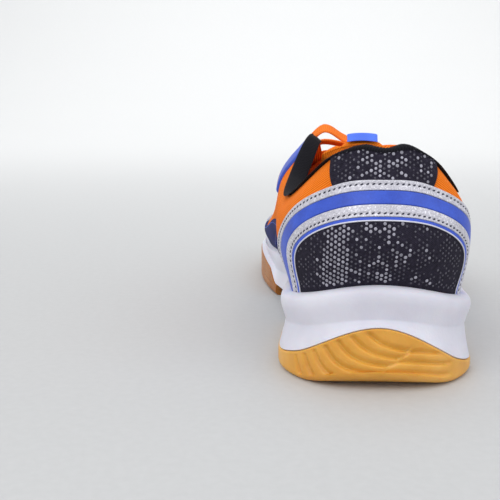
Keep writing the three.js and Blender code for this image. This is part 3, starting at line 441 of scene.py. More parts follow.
# ---------- finishes ----------
class Finish:
    """A material whose nodes are added one by one; values that are the same all over sit on the shader."""

    def __init__(self, name, **fixed):
        self.material = bpy.data.materials.new(name)
        self.material.use_nodes = True
        self.nodes = self.material.node_tree.nodes
        self.links = self.material.node_tree.links
        self.shader = self.nodes["Principled BSDF"]
        for socket, value in fixed.items():
            self.put(self.shader.inputs[socket.replace("_", " ")], value)

    def put(self, socket, value):
        if isinstance(value, bpy.types.NodeSocket):
            self.links.new(value, socket)
        elif isinstance(value, tuple) and len(value) == 3 and socket.type == "RGBA":
            socket.default_value = (*value, 1)
        else:
            socket.default_value = value

    def node(self, kind, *values, **settings):
        made = self.nodes.new(kind)
        for key, value in settings.items():
            setattr(made, key, value)
        for k, value in enumerate(values):
            if value is not None:
                self.put(made.inputs[k], value)
        return made

    def math(self, operation, a, b=None, c=None):
        return self.node("ShaderNodeMath", a, b, c, operation=operation).outputs[0]

    def uv(self):
        return self.node("ShaderNodeUVMap", uv_map="UVMap").outputs[0]

    def solid(self):
        return self.node("ShaderNodeTexCoord").outputs["Object"]

    def noise(self, vector, scale, detail=3.0, roughness=0.55):
        made = self.node("ShaderNodeTexNoise", vector)
        made.inputs["Scale"].default_value = scale
        made.inputs["Detail"].default_value = detail
        made.inputs["Roughness"].default_value = roughness
        return made.outputs[0]

    def cells(self, vector, scale, feature="F1", randomness=1.0, output="Color"):
        made = self.node("ShaderNodeTexVoronoi", vector, feature=feature)
        made.inputs["Scale"].default_value = scale
        made.inputs["Randomness"].default_value = randomness
        return made.outputs[output]

    def waves(self, vector, angle, pitch):
        """0..1 waves of a pitch in the vector's units, across the direction angle."""
        parts = self.node("ShaderNodeSeparateXYZ", vector).outputs
        along_x = self.math("MULTIPLY", parts[0], 2 * math.pi * math.cos(angle) / pitch)
        along_y = self.math("MULTIPLY", parts[1], 2 * math.pi * math.sin(angle) / pitch)
        wave = self.math("SINE", self.math("ADD", along_x, along_y))
        return self.math("MULTIPLY_ADD", wave, 0.5, 0.5)

    def ramp(self, factor, *stops):
        made = self.node("ShaderNodeValToRGB", factor)
        stops = sorted(stops)
        made.color_ramp.elements[0].position = stops[0][0]
        made.color_ramp.elements[1].position = stops[-1][0]
        for place, colour in stops[1:-1]:
            made.color_ramp.elements.new(place)
        for element, (place, colour) in zip(made.color_ramp.elements, stops):
            element.color = (*colour, 1) if isinstance(colour, tuple) else (colour, colour, colour, 1)
        return made.outputs[0]

    def blend(self, factor, a, b, how="MIX"):
        made = self.nodes.new("ShaderNodeMix")
        made.data_type = "RGBA"
        made.blend_type = how
        self.put(made.inputs[0], factor)
        self.put(made.inputs[6], a)
        self.put(made.inputs[7], b)
        return made.outputs[2]

    def colour(self, value):
        self.put(self.shader.inputs["Base Color"], value)

    def roughness(self, value):
        self.put(self.shader.inputs["Roughness"], value)

    def bump(self, height, distance_mm, strength=1.0):
        made = self.nodes.new("ShaderNodeBump")
        made.inputs["Strength"].default_value = strength
        made.inputs["Distance"].default_value = distance_mm * MM
        self.links.new(height, made.inputs["Height"])
        before = self.shader.inputs["Normal"]
        if before.is_linked:
            self.links.new(before.links[0].from_socket, made.inputs["Normal"])
        self.links.new(made.outputs[0], before)


def gum_rubber(name, shade):
    f = Finish(name, Roughness=0.42, Subsurface_Weight=0.35, Specular_IOR_Level=0.45)
    f.shader.inputs["Subsurface Radius"].default_value = (1.0, 0.45, 0.12)
    f.shader.inputs["Subsurface Scale"].default_value = 0.003
    cloud = f.noise(f.solid(), 55, 4)
    tones = ((0.3, (0.66, 0.3, 0.035)), (0.55, (0.77, 0.385, 0.06)), (0.75, (0.83, 0.46, 0.105)))
    # shade multiplies every tone of the gum; below 1 it darkens the rubber as painted shade
    f.colour(f.ramp(cloud, *((place, tuple(c * k for c, k in zip(tone, shade))) for place, tone in tones)))
    f.bump(f.noise(f.solid(), 2600, 2), 0.06)
    return f.material


def midsole_foam():
    f = Finish("midsole_foam", Roughness=0.58, Subsurface_Weight=0.12, Specular_IOR_Level=0.35)
    f.shader.inputs["Subsurface Scale"].default_value = 0.002
    cloud = f.noise(f.solid(), 38, 4)
    f.colour(f.ramp(cloud, (0.3, (0.66, 0.65, 0.73)), (0.7, (0.76, 0.755, 0.83))))
    f.bump(f.noise(f.solid(), 1500, 3), 0.05)
    f.bump(f.cells(f.solid(), 900, feature="SMOOTH_F1", output="Distance"), 0.04)
    return f.material


def orange_mesh():
    f = Finish("orange_mesh", Roughness=0.8, Specular_IOR_Level=0.12)
    uv = f.uv()
    ribs = f.waves(uv, math.radians(68), 1.15)
    cross = f.waves(uv, math.radians(-24), 0.75)
    knit = f.math("MULTIPLY", ribs, f.math("MULTIPLY_ADD", cross, 0.35, 0.65))
    base = f.ramp(knit, (0.0, (0.8, 0.11, 0.004)), (0.45, (1.0, 0.235, 0.012)), (1.0, (1.0, 0.32, 0.03)))
    cloud = f.ramp(f.noise(f.solid(), 70, 3), (0.35, 0.86), (0.7, 1.0))
    f.colour(f.blend(0.6, base, cloud, "MULTIPLY"))
    f.bump(knit, 0.3, 0.8)
    f.bump(f.noise(f.solid(), 3500, 2), 0.05)
    return f.material


def charcoal_textile():
    f = Finish("charcoal_textile", Roughness=0.85, Specular_IOR_Level=0.22)
    uv = f.uv()
    weave = f.math("MULTIPLY", f.waves(uv, math.radians(58), 0.62), f.waves(uv, math.radians(-58), 0.62))
    grain = f.noise(f.solid(), 900, 3)
    tones = (0.3, (0.013, 0.011, 0.022)), (0.6, (0.026, 0.022, 0.04)), (0.8, (0.055, 0.05, 0.078))
    base = f.ramp(grain, *tones)
    f.colour(f.blend(0.5, base, f.ramp(weave, (0.0, (0.35, 0.33, 0.38)), (0.7, (1.0, 1.0, 1.0))), "MULTIPLY"))
    f.bump(weave, 0.16, 0.8)
    f.bump(grain, 0.08)
    return f.material


def raised_print():
    f = Finish("raised_print", Roughness=0.45, Specular_IOR_Level=0.5)
    tone = f.node("ShaderNodeAttribute", attribute_name="tone").outputs["Color"]
    f.colour(f.ramp(tone, (0.0, (0.03, 0.027, 0.045)), (0.4, (0.17, 0.165, 0.2)), (1.0, (0.40, 0.39, 0.46))))
    f.bump(f.noise(f.solid(), 4000, 2), 0.03)
    return f.material


def flake_film(name, dark, light, flake, roughness, metallic):
    f = Finish(name, Metallic=metallic, Specular_IOR_Level=0.5)
    flakes = f.cells(f.solid(), 2400)
    bright = f.node("ShaderNodeSeparateColor", flakes).outputs[0]
    base = f.ramp(bright, (0.0, dark), (0.75, light), (1.0, flake))
    cloud = f.ramp(f.noise(f.solid(), 160, 4), (0.3, 0.8), (0.7, 1.0))
    f.colour(f.blend(0.7, base, cloud, "MULTIPLY"))
    f.roughness(f.math("MULTIPLY_ADD", f.noise(f.solid(), 600, 3), 0.25, roughness))
    f.bump(bright, 0.05, 0.6)
    f.bump(f.noise(f.solid(), 700, 3), 0.1)
    return f.material


def satin_film(name, dark, light, roughness=0.38, shine=0.4):
    f = Finish(name, Specular_IOR_Level=shine, Coat_Weight=shine * 0.2, Coat_Roughness=0.3)
    cloud = f.noise(f.solid(), 120, 4)
    fine = f.cells(f.solid(), 1900)
    speck = f.node("ShaderNodeSeparateColor", fine).outputs[0]
    base = f.ramp(cloud, (0.3, dark), (0.7, light))
    f.colour(f.blend(0.35, base, f.ramp(speck, (0.0, 0.7), (0.85, 1.0)), "MULTIPLY"))
    f.roughness(f.math("MULTIPLY_ADD", cloud, 0.2, roughness))
    f.bump(speck, 0.04, 0.5)
    return f.material


def knit(name, dark, light, pitch):
    f = Finish(name, Roughness=0.9, Sheen_Weight=0.04, Specular_IOR_Level=0.15)
    uv = f.uv()
    rows = f.math("MULTIPLY", f.waves(uv, math.radians(40), pitch), f.waves(uv, math.radians(-40), pitch))
    f.colour(f.ramp(rows, (0.0, dark), (0.8, light)))
    f.bump(rows, 0.1, 0.7)
    f.bump(f.noise(f.solid(), 3000, 2), 0.05)
    return f.material


def woven(name, dark, light, pitch, sheen=0.2):
    f = Finish(name, Roughness=0.75, Sheen_Weight=sheen, Specular_IOR_Level=0.3)
    uv = f.uv()
    warp = f.waves(uv, math.radians(38), pitch)
    weft = f.waves(uv, math.radians(-38), pitch)
    cross = f.math("MAXIMUM", warp, weft)
    tone = f.math("MULTIPLY_ADD", f.noise(f.solid(), 200, 2), 0.3, f.math("MULTIPLY", cross, 0.8))
    f.colour(f.ramp(tone, (0.25, dark), (0.85, light)))
    f.bump(cross, 0.18, 0.8)
    return f.material


def plain_textile(name, dark, light):
    f = Finish(name, Roughness=0.92, Sheen_Weight=0.03, Specular_IOR_Level=0.12)
    grain = f.noise(f.solid(), 1400, 3)
    f.colour(f.ramp(grain, (0.3, dark), (0.75, light)))
    f.bump(grain, 0.1, 0.8)
    f.bump(f.waves(f.uv(), 0, 0.8), 0.05)
    return f.material


def moulded(name, dark, light, roughness):
    f = Finish(name, Specular_IOR_Level=0.5)
    cloud = f.noise(f.solid(), 300, 4)
    f.colour(f.ramp(cloud, (0.3, dark), (0.75, light)))
    f.roughness(f.math("MULTIPLY_ADD", cloud, 0.2, roughness))
    f.bump(f.noise(f.solid(), 2000, 2), 0.04)
    return f.material


GUM = gum_rubber("gum_rubber", (1, 1, 1))
# The same gum darkened to brown for the forefoot: painted shade, standing in for the shadow that end of the sole
# lies in
SHADED_GUM = gum_rubber("gum_rubber_painted_shade", (0.52, 0.38, 0.4))
FOAM = midsole_foam()
MESH = orange_mesh()
CHARCOAL = charcoal_textile()
PRINT = raised_print()
SILVER = flake_film("silver_film", (0.5, 0.49, 0.55), (0.66, 0.65, 0.72), (0.9, 0.89, 0.95), 0.34, 0.2)
BLUE = satin_film("blue_film", (0.028, 0.075, 0.5), (0.045, 0.115, 0.66))
NAVY = satin_film("navy_film", (0.006, 0.008, 0.07), (0.014, 0.018, 0.15), roughness=0.6, shine=0.15)
GREY = flake_film("grey_film", (0.30, 0.30, 0.35), (0.5, 0.5, 0.57), (0.7, 0.7, 0.78), 0.4, 0.1)
WHITE_LINE = moulded("white_line", (0.62, 0.62, 0.70), (0.75, 0.75, 0.83), 0.45)
BLACK_KNIT = knit("black_knit", (0.003, 0.003, 0.005), (0.013, 0.012, 0.018), 0.8)
BLACK_LINING = plain_textile("black_lining", (0.009, 0.008, 0.012), (0.024, 0.022, 0.03))
INSOLE = woven("footbed_fabric", (0.012, 0.012, 0.018), (0.05, 0.05, 0.065), 1.0)
LACE = woven("orange_lace", (0.8, 0.1, 0.003), (1.0, 0.24, 0.02), 0.8, sheen=0.0)
LABEL = woven("blue_label", (0.06, 0.12, 0.75), (0.12, 0.25, 1.0), 0.7, sheen=0.0)
THREAD_DARK = moulded("dark_thread", (0.012, 0.012, 0.03), (0.03, 0.03, 0.06), 0.6)
THREAD_ORANGE = moulded("orange_thread", (0.8, 0.16, 0.015), (1.0, 0.3, 0.05), 0.6)
THREAD_BLUE = moulded("blue_thread", (0.05, 0.09, 0.45), (0.12, 0.2, 0.7), 0.55)
PLATE = moulded("shank_plastic", (0.025, 0.028, 0.04), (0.06, 0.065, 0.085), 0.3)
GEL = moulded("cushion_gel", (0.2, 0.45, 0.62), (0.3, 0.6, 0.76), 0.35)
BOARD = plain_textile("board", (0.5, 0.46, 0.37), (0.66, 0.62, 0.53))
AGLET = moulded("aglet_plastic", (0.7, 0.2, 0.05), (0.95, 0.35, 0.1), 0.2)
FLOOR = moulded("pale_floor", (0.53, 0.535, 0.535), (0.56, 0.565, 0.565), 0.65)


# ---------- camera, light and floor ----------
CAMERA_PLACE = (-35.5, -319.9, 112.5)
CAMERA_LENS, SENSOR_WIDTH = 64.94, 36
CAMERA_PITCH, CAMERA_TURN = 10.46, 2.5


def studio_camera():
    camera = add_object("camera", bpy.data.cameras.new("camera"))
    camera.data.lens = CAMERA_LENS
    camera.data.sensor_width = SENSOR_WIDTH
    camera.data.clip_start = 0.01
    camera.location = Vector(CAMERA_PLACE) * MM + Vector(ORIGIN)
    camera.rotation_euler = (math.radians(90 - CAMERA_PITCH), 0, math.radians(CAMERA_TURN))
    bpy.context.scene.camera = camera


def studio_light():
    world = bpy.data.worlds.new("soft_room")
    world.use_nodes = True
    world.node_tree.nodes["Background"].inputs[0].default_value = (0.97, 0.98, 1.0, 1)
    world.node_tree.nodes["Background"].inputs[1].default_value = 0.8
    bpy.context.scene.world = world
    bpy.context.scene.view_settings.view_transform = "Standard"

    def area(name, place, target, size, power, colour=(1, 1, 1)):
        light = add_object(name, bpy.data.lights.new(name, "AREA"))
        light.data.size = size
        light.data.energy = power
        light.data.color = colour
        light.location = place
        aim = Vector(target) - Vector(place)
        light.rotation_euler = aim.to_track_quat("-Z", "Y").to_euler()

    area("key_light", (-0.9, -1.3, 1.5), (0, 0, 0.03), 1.1, 14)
    area("fill_light", (1.4, -1.0, 0.9), (0, -0.05, 0.05), 1.4, 6, (0.95, 0.96, 1.0))
    area("backdrop_light", (0, 1.6, 1.6), (0, 2.6, 0.5), 2.5, 36)
    area("top_light", (0.0, 0.3, 1.9), (0, 0, 0), 1.6, 9)


def studio_floor():
    """Floor that curves up into a backdrop behind the shoe."""
    near, bend, radius, top, half = -6.0, 1.2, 2.2, 4.5, 6.0
    profile = [(near, 0.0), (0.0, 0.0), (bend, 0.0)]
    for k in range(1, 13):
        angle = math.pi / 2 * k / 12
        profile.append((bend + radius * math.sin(angle), radius * (1 - math.cos(angle))))
    profile.append((bend + radius, top))
    points = [(x, y, z) for x in np.linspace(-half, half, 7) for y, z in profile]
    mesh = bpy.data.meshes.new("studio_floor")
    mesh.from_pydata(points, [], grid_faces(7, len(profile)))
    mesh.shade_smooth()
    floor = add_object("studio_floor", mesh)
    floor.data.materials.append(FLOOR)


# ---------- sole ----------
def flow(controls, per_segment):
    """Smooth rows through control columns, each an array of [inset, height] for every station."""
    stack = np.stack(controls)
    count = len(controls)
    places = np.linspace(0, count - 1, (count - 1) * per_segment + 1)
    rows = along(stack.reshape(count, -1), places)
    return rows.reshape(len(places), *stack.shape[1:]).swapaxes(0, 1)


def pair(inset, height, like):
    return np.stack([inset + 0 * like, height + 0 * like], axis=-1)


def ring_piece(name, s, profile, closed_round, material, slot_name, **options):
    """Ring of rubber or foam: a closed section, given as [inset, height], at every station of s."""
    points = sole_point(s[:, None], profile[..., 0], profile[..., 1])
    columns, rows = points.shape[:2]
    faces = grid_faces(columns, rows, wrap_columns=closed_round, wrap_rows=True)
    if not closed_round:
        faces += end_caps(columns, rows)
    uv = metric(points).reshape(-1, 2)
    return piece(name, points.reshape(-1, 3), faces, uv, material, slot_name, **options)


def outsole_wall(name, s, relief, node, material):
    """Rubber that wraps up the side of the midsole. relief(u, height) is how deep the grooves are."""
    edge_line = sole_point(s, 0, 0)
    u = run_length(edge_line[:, :2])
    u = u - np.interp(0, np.where(s[-1] > s[0], s, np.arange(len(s)) - len(s) // 2), u)
    top = wall_top(s)
    rows = [pair(OUTSOLE_WALL, OUTSOLE_THICKNESS, top), pair(OUTSOLE_WALL, top - 0.9, top)]
    for k in range(1, 8):
        angle = math.pi * k / 8
        rows.append(pair(OUTSOLE_WALL / 2 * (1 + math.cos(angle)), top - 0.9 + 0.9 * math.sin(angle), top))
    first = len(rows)
    for share in np.linspace(0, 1, 46):
        rows.append(pair(0, mix(top - 0.9, OUTSOLE_EDGE, share), top))
    last = len(rows)
    for k in range(1, 8):
        angle = math.pi / 2 * k / 7
        rows.append(pair(OUTSOLE_EDGE * (1 - math.cos(angle)), OUTSOLE_EDGE * (1 - math.sin(angle)), top))
    rows += [pair(6.5, 0, top), pair(6.5, OUTSOLE_THICKNESS, top)]
    profile = np.stack(rows, axis=1)
    face = profile[:, first:last]
    inside = smooth(top[:, None] - face[..., 1], 0.6, 2.2) * smooth(face[..., 1], 0.8, 2.6)
    face[..., 0] += relief(u[:, None] + 0 * face[..., 1], face[..., 1]) * inside
    return ring_piece(name, s, profile, False, material, "gum_rubber", hides=(node,))


def groove(distance, width=0.8, depth=0.85):
    return depth * np.exp(-(distance / width) ** 2)


def feather_grooves(u, h):
    """Curved feather grooves on the heel's inner half, level grooves on its outer half, a vein between."""
    lateral_u = np.maximum(u, -15)
    vein = 1.7 + 0.62 * lateral_u + 0.0206 * lateral_u**2
    vein_slope = np.hypot(1, 0.62 + 0.0412 * lateral_u)
    left = smooth(h - vein, 0.1, 1.4) * smooth(u, 17, 11)
    right = smooth(vein - h, 0.1, 1.4) * smooth(u, 33, 27)
    depth = groove((h - vein) / vein_slope, 0.75, 0.75) * smooth(u, -7, -2) * smooth(u, 14, 10)
    for k in range(7):
        shifted = np.clip(u + 4.6 * k, -14, 60)
        rise = 4.1 * np.exp(-shifted / 6.2)
        line = 10.7 + rise - 3.15 * k
        feather = groove((h - line) / np.hypot(1, rise / 6.2), 1.0, 1.3)
        depth = depth + left * feather * smooth(shifted, -11, -6)
    for height in (2.6, 6.9, 11.2):
        depth = depth + right * groove(h - height - 0.0012 * u**2, 0.9, 1.2)
    return depth


def side_grooves(u, h):
    lines = sum(groove(h - height, 0.5, 0.5) for height in (5.0, 8.0, 11.0, 14.0))
    return lines * smooth(np.abs(u), 170, 120)


def wall_top(s):
    """Height of the rubber up the side, which slopes away to the ground plate where the rubber ends."""
    station = np.abs(s)
    rear = station < (HEEL_OUTSOLE_END + FOREFOOT_OUTSOLE_START) / 2
    full = np.where(rear, sided(HEEL_WALL_TOP, s), sided(TOE_WALL_TOP, s))
    held = np.where(rear, smooth(station, HEEL_OUTSOLE_END, HEEL_OUTSOLE_END - 0.3),
                    smooth(station, FOREFOOT_OUTSOLE_START, FOREFOOT_OUTSOLE_START + 0.35))
    return mix(OUTSOLE_THICKNESS + 1.1, full, held)


def tread(name, s, lug_height, material):
    """Ground plate between the walls, with lugs between grooves."""
    t = np.linspace(-1, 1, 97)
    inset = 6.2
    lateral = sole_point(s, inset, 0)[:, None, :]
    medial = sole_point(-s, inset, 0)[:, None, :]
    ground = mix(medial, lateral, (t[None, :, None] + 1) / 2)
    x, y = ground[..., 0], ground[..., 1]
    border = smooth(1 - np.abs(t), 0.0, 0.03)[None, :]
    bottom = ground.copy()
    bottom[..., 2] = ground_rise(y) + 0.12 + 1.5 * (1 - lug_height(x, y) * border)
    top = ground.copy()
    top[..., 2] = ground_rise(y) + OUTSOLE_THICKNESS
    return thick_sheet(name, bottom, top, metric(ground), material, "gum_rubber", crease=35)


def bars(phase, share=0.74):
    """1 on the bars and 0 in the grooves of a repeating pattern, with short slopes."""
    place = phase - np.floor(phase)
    return smooth(place, 0, 0.1) * smooth(place, share + 0.1, share)


def heel_lugs(x, y):
    return bars((y + 0.45 * np.abs(x + 1)) / 6.4) * smooth(np.abs(x + 1 - 0.02 * y), 1.2, 2.0)


PIVOT, PIVOT_RADIUS = (-18, 206), 22


def forefoot_lugs(x, y):
    pivot = np.hypot(x - PIVOT[0], y - PIVOT[1])
    rings = bars(pivot / 5.5)
    chevrons = bars((y - 0.5 * np.abs(x)) / 6.4) * smooth(np.abs(x), 1.0, 1.8)
    return np.where(pivot < PIVOT_RADIUS, rings, chevrons * smooth(pivot, PIVOT_RADIUS, PIVOT_RADIUS + 1.5))


def sole():
    heel_s = np.linspace(-HEEL_OUTSOLE_END, HEEL_OUTSOLE_END, 640)
    outsole_wall("gum_heel_cup", heel_s, feather_grooves, "heel_outsole", GUM)
    place = np.linspace(FOREFOOT_OUTSOLE_START, 2 * TOE - FOREFOOT_OUTSOLE_START, 640)
    toe_s = np.where(place > TOE, place - 2 * TOE, place)
    # The forefoot wrap and tread take the gum darkened with painted shade
    outsole_wall("gum_forefoot_wrap", toe_s, side_grooves, "forefoot_outsole", SHADED_GUM)
    tread("gum_heel_tread", np.linspace(0.3, HEEL_OUTSOLE_END, 220), heel_lugs, GUM)
    tread("gum_forefoot_tread", np.linspace(FOREFOOT_OUTSOLE_START, 9.85, 300), forefoot_lugs, SHADED_GUM)

    around = np.linspace(0, 2 * TOE, 900, endpoint=False)
    s = np.where(around > TOE, around - 2 * TOE, around)
    station = np.abs(s)
    rim = between(RIM_HEIGHT, station)
    wall = wall_top(s)
    crease = np.maximum(between(CREASE_HEIGHT, station), wall + 1.5)
    swell = LIP_SWELL * smooth(station, 6, 4.5)
    floor = between(FLOOR_HEIGHT, station)
    controls = [
        pair(FEATHER_INSET + CUP_TAPER - GAP, floor, rim),
        pair(FEATHER_INSET + 0.2, mix(floor, rim, 0.7), rim),
        pair(FEATHER_INSET - GAP, rim - 0.8, rim),
        pair(RIM_INSET + 0.6, rim - 0.05, rim),
        pair(RIM_INSET - 0.9 - swell * 0.6, rim - 0.75, rim),
        pair(MIDSOLE_INSET + 0.25 - swell, mix(crease, rim, 0.8), rim),
        pair(MIDSOLE_INSET - swell * 0.9, mix(crease, rim, 0.55), rim),
        pair(MIDSOLE_INSET + MIDSOLE_WAIST * 0.6 - swell * 0.3, mix(crease, rim, 0.2), rim),
        pair(MIDSOLE_INSET + MIDSOLE_WAIST, crease, rim),
    ]
    rows = [flow(controls, 7)]
    for share in np.linspace(0.08, 1, 12):
        inset = mix(MIDSOLE_INSET + MIDSOLE_WAIST, FLUSH_INSET, share**1.35)
        rows.append(pair(inset, mix(crease, wall + 0.45, share), rim)[:, None, :])
    base = OUTSOLE_THICKNESS + GAP
    for inset, height in ((FLUSH_INSET + 0.35, wall + 0.2), (MIDSOLE_INSET - 0.5, wall + 0.1),
                          (MIDSOLE_INSET, wall - 0.25), (MIDSOLE_INSET, base), (MIDSOLE_INSET + 8, base)):
        rows.append(pair(inset, height, rim)[:, None, :])
    ring_piece("foam_midsole", s, np.concatenate(rows, axis=1), True, FOAM, "midsole_foam",
               hides=("midsole",))


# ---------- upper ----------
def padding(s, v):
    collar = smooth(v, 0.44, 0.7) * smooth(np.abs(s), 5.2, 4.4)
    return COUNTER_THICKNESS + COLLAR_PADDING * collar * (1 - COLLAR_TAPER * smooth(v, 0.82, 1))


def lining_out(s, v):
    return -SHELL_THICKNESS - GAP - padding(s, v) - GAP


SHELL_V = np.concatenate([[-0.9, -0.6, -0.3, -0.08], np.linspace(0, 0.985, 46), [0.995, 1.0]])


def quarters():
    for side, name in SIDES:
        s, v = np.meshgrid(np.linspace(0.004, 7.988, 300) * side, SHELL_V, indexing="ij")
        obj = layer(name + "_quarter_mesh", s, v, 0, -SHELL_THICKNESS, MESH, "orange_mesh",
                    hides=(name + "_quarter",))
        punch(obj, side)


def vamp():
    stations = np.linspace(RIDGE_START + 0.012, TOE, 110)
    half = np.concatenate([[-0.9, -0.5, -0.1], np.linspace(0, 1, 44)])
    v = np.concatenate([half, half[-2::-1]])
    sign = np.concatenate([-np.ones(len(half)), np.ones(len(half) - 1)])
    s, rows = np.meshgrid(stations, v, indexing="ij")
    s = s * sign[None, :]
    outer = layer_point(s, rows, 0)
    inner = layer_point(s, rows, -SHELL_THICKNESS)
    uv = metric(outer, 0, len(half) - 1)
    thick_sheet("toe_vamp_mesh", outer, inner, uv, MESH, "orange_mesh", hides=("toe_vamp",))


def vamp_seams():
    rise = np.linspace(0.4, 0.98, 200)
    for side, name in SIDES:
        for k, station in enumerate((7.93, 7.86)):
            stitch_row(name + "_vamp_seam_" + "ab"[k], side * station + 0 * rise, rise, 0.02, 2.2,
                       (1.5, 0.5, 0.5), THREAD_ORANGE, "orange_lace")


def lining():
    s, v = np.meshgrid(np.linspace(-5, 5, 360), np.concatenate([[-0.9, -0.5, -0.1], np.linspace(0, 1, 48)]),
                       indexing="ij")
    seam = 0.35 * np.exp(-((np.abs(s) - 2.6) * 18) ** 2)
    soft = smooth(v, 0.47, 0.53) * smooth(np.abs(s), 4.75, 4.45)
    outer = mix(lining_out(s, v), -SHELL_THICKNESS - GAP, soft)
    obj = layer("padded_collar_lining", s, v, outer, lining_out(s, v) - LINING_THICKNESS + seam, BLACK_LINING,
                "black_lining", hides=("heel_lining", "collar_foam"))


def binding():
    """Ribbed knit roll over the top of the collar."""
    fine = np.linspace(-5, 5, 4001)
    edge = net_point(fine, 1.0)
    run = run_length(edge)
    rib_pitch = 1.25
    ribs = int(run[-1] / rib_pitch)
    places = np.linspace(0, run[-1], ribs * 7 + 1)
    s = np.interp(places, run, fine)
    outward, up = net_frame(s, 1.0)
    edge = net_point(s, 1.0)
    high = OVERLAY_THICKNESS + GAP + 0.12
    low = lining_out(s, 1.0) - LINING_THICKNESS
    width, middle = high - low, (high + low) / 2
    wave = 0.13 * (0.5 + 0.5 * np.cos(2 * math.pi * places / rib_pitch))
    wave = wave * (1 - 0.75 * smooth(np.abs(s), 1.9, 2.6))
    height = BINDING_HEIGHT * (1 - 0.45 * smooth(np.abs(s), 3.6, 4.8)) * (1 - 0.6 * smooth(np.abs(s), 4.8, 5))
    rows = []
    for k in range(19):
        angle = math.pi * k / 18
        foot = mix(-0.9, 0.0, k / 18)
        across = middle + np.cos(angle) * (width / 2 + wave)
        rise = foot + math.sin(angle) ** 0.8 * (height + wave)
        rows.append(edge + outward * across[:, None] + up * np.asarray(rise)[:, None])
    outer = np.stack(rows, axis=1)
    inner_rows = [edge + outward * (middle + math.cos(math.pi * k / 18) * (width / 2 - 0.6))[:, None]
                  + up * (math.sin(math.pi * k / 18) * (height - 0.6))[:, None] for k in range(19)]
    inner = np.stack(inner_rows, axis=1)
    thick_sheet("collar_knit_binding", outer, inner, metric(outer), BLACK_KNIT, "black_knit",
                hides=("collar_binding",), crease=80)


# ---------- heel panels and the bands that arch over them ----------
OVERLAY_FOOT = 0.035
ARCH_POWER = 2.4
ARCH_EDGES = ((2.15, 0.498, 0.15), (2.36, 0.583, 0.12), (2.74, 0.683, 0.06), (3.02, 0.763, 0.0))
PIPING_EDGES = ((2.05, 0.474, 0.15), ARCH_EDGES[0])
PINCH_TOP = 0.32
ARCH_START = 0.0105 * math.pi


def kept(edge, v):
    """Share of its full reach that an arch's edge keeps at a height; arches draw in towards the sole."""
    return 1 - edge[2] * (1 - smooth(v, 0, PINCH_TOP))


def arch_place(edge, angle):
    c = np.cos(angle)
    v = np.maximum(OVERLAY_FOOT - 0.02, edge[1] * np.sin(angle) ** (2 / ARCH_POWER))
    v = v - 0.05 * (1 - smooth(v, 0.02, 0.12))
    return -edge[0] * np.sign(c) * np.abs(c) ** (2 / ARCH_POWER) * kept(edge, v), v


def arch_grid(lower, upper, share):
    angle = np.linspace(ARCH_START, math.pi - ARCH_START, 420)
    s0, v0 = arch_place(lower, angle)
    s1, v1 = arch_place(upper, angle)
    return mix(s0[:, None], s1[:, None], share[None, :]), mix(v0[:, None], v1[:, None], share[None, :]), angle


def arch_band(name, lower, upper, node, material, slot_name, lift=0.0, stitched=None):
    share = edged(14)
    s, v, angle = arch_grid(lower, upper, share)
    relief = np.zeros_like(s) + lift
    if stitched is not None:
        relief = relief - 0.3 * np.exp(-((share[None, :] - stitched) / 0.1) ** 2)
    lengthways = np.linspace(0, 1, len(angle))[:, None] + 0 * s
    across = share[None, :] + 0 * s
    overlay(name, s, v, across, lengthways, material, slot_name, relief, hides=(node,))
    if stitched is not None:
        row_s, row_v, _ = arch_grid(lower, upper, np.array([stitched]))
        stitch_row(name + "_stitching", row_s[:, 0], row_v[:, 0], OVERLAY_THICKNESS + GAP - 0.22, 2.15,
                   (1.25, 0.62, 0.5), THREAD_DARK, "navy_film", turn=0.5)


def arch_line(name, edge, width, material, slot_name):
    """Thin raised cord along an edge of the arch."""
    angle = np.linspace(ARCH_START, math.pi - ARCH_START, 420)
    s, v = arch_place(edge, angle)
    path = layer_point(s, v, OVERLAY_THICKNESS + GAP)
    outward, _ = net_frame(s, v)
    ahead = unit(np.gradient(path, axis=0))
    side = np.cross(outward, ahead)
    rows = [path + (side * math.cos(a) + outward * math.sin(a) * 0.8) * width / 2
            for a in np.linspace(0, 2 * math.pi, 10, endpoint=False)]
    points = np.stack(rows, axis=1)
    columns, sides = points.shape[:2]
    faces = grid_faces(columns, sides, wrap_rows=True) + end_caps(columns, sides)
    piece(name, points.reshape(-1, 3), faces, metric(points).reshape(-1, 2), material, slot_name)


def panel_top(s, edge):
    share = np.clip(np.abs(s / edge[0]), 0, 1) ** ARCH_POWER
    return edge[1] * (1 - share) ** (1 / ARCH_POWER)


def lower_panel():
    edge = (PIPING_EDGES[0][0] + 0.02, PIPING_EDGES[0][1] + 0.006, PIPING_EDGES[0][2])
    angle = np.linspace(ARCH_START * 0.5, math.pi - ARCH_START * 0.5, 300)
    edge_s, edge_v = arch_place(edge, angle)
    reach = (edge_s / kept(edge, edge_v))[:, None]
    top = np.maximum(edge_v, OVERLAY_FOOT + 0.01)[:, None]
    share = np.linspace(0, 1, 60)[None, :]
    v = mix(OVERLAY_FOOT - 0.03, top, share)
    s = reach * kept(edge, v)
    outer = GAP + OVERLAY_THICKNESS * 0.75
    layer("heel_lower_textile", s, v, outer, 0.02, CHARCOAL, "charcoal_textile", hides=("heel_lower_panel",))


TAB_BOTTOM, TAB_TOP = 1.18, 1.95


def tab_foot(s):
    outer_edge = ARCH_EDGES[-1]
    return panel_top(s, (outer_edge[0], outer_edge[1] - 0.02))


def tab_panel():
    t, up = np.meshgrid(np.linspace(-1, 1, 180), np.linspace(0, 1, 40), indexing="ij")
    bottom = tab_foot(t * TAB_BOTTOM)
    s = t * mix(TAB_BOTTOM, TAB_TOP, up)
    v = mix(bottom, 0.995, up)
    border = rounded((t + 1) / 2, 0.02)
    outer = 0.08 + (GAP + OVERLAY_THICKNESS * 0.75 - 0.08) * border
    layer("heel_tab_textile", s, v, outer, -0.1, CHARCOAL, "charcoal_textile", hides=("heel_tab_panel",))


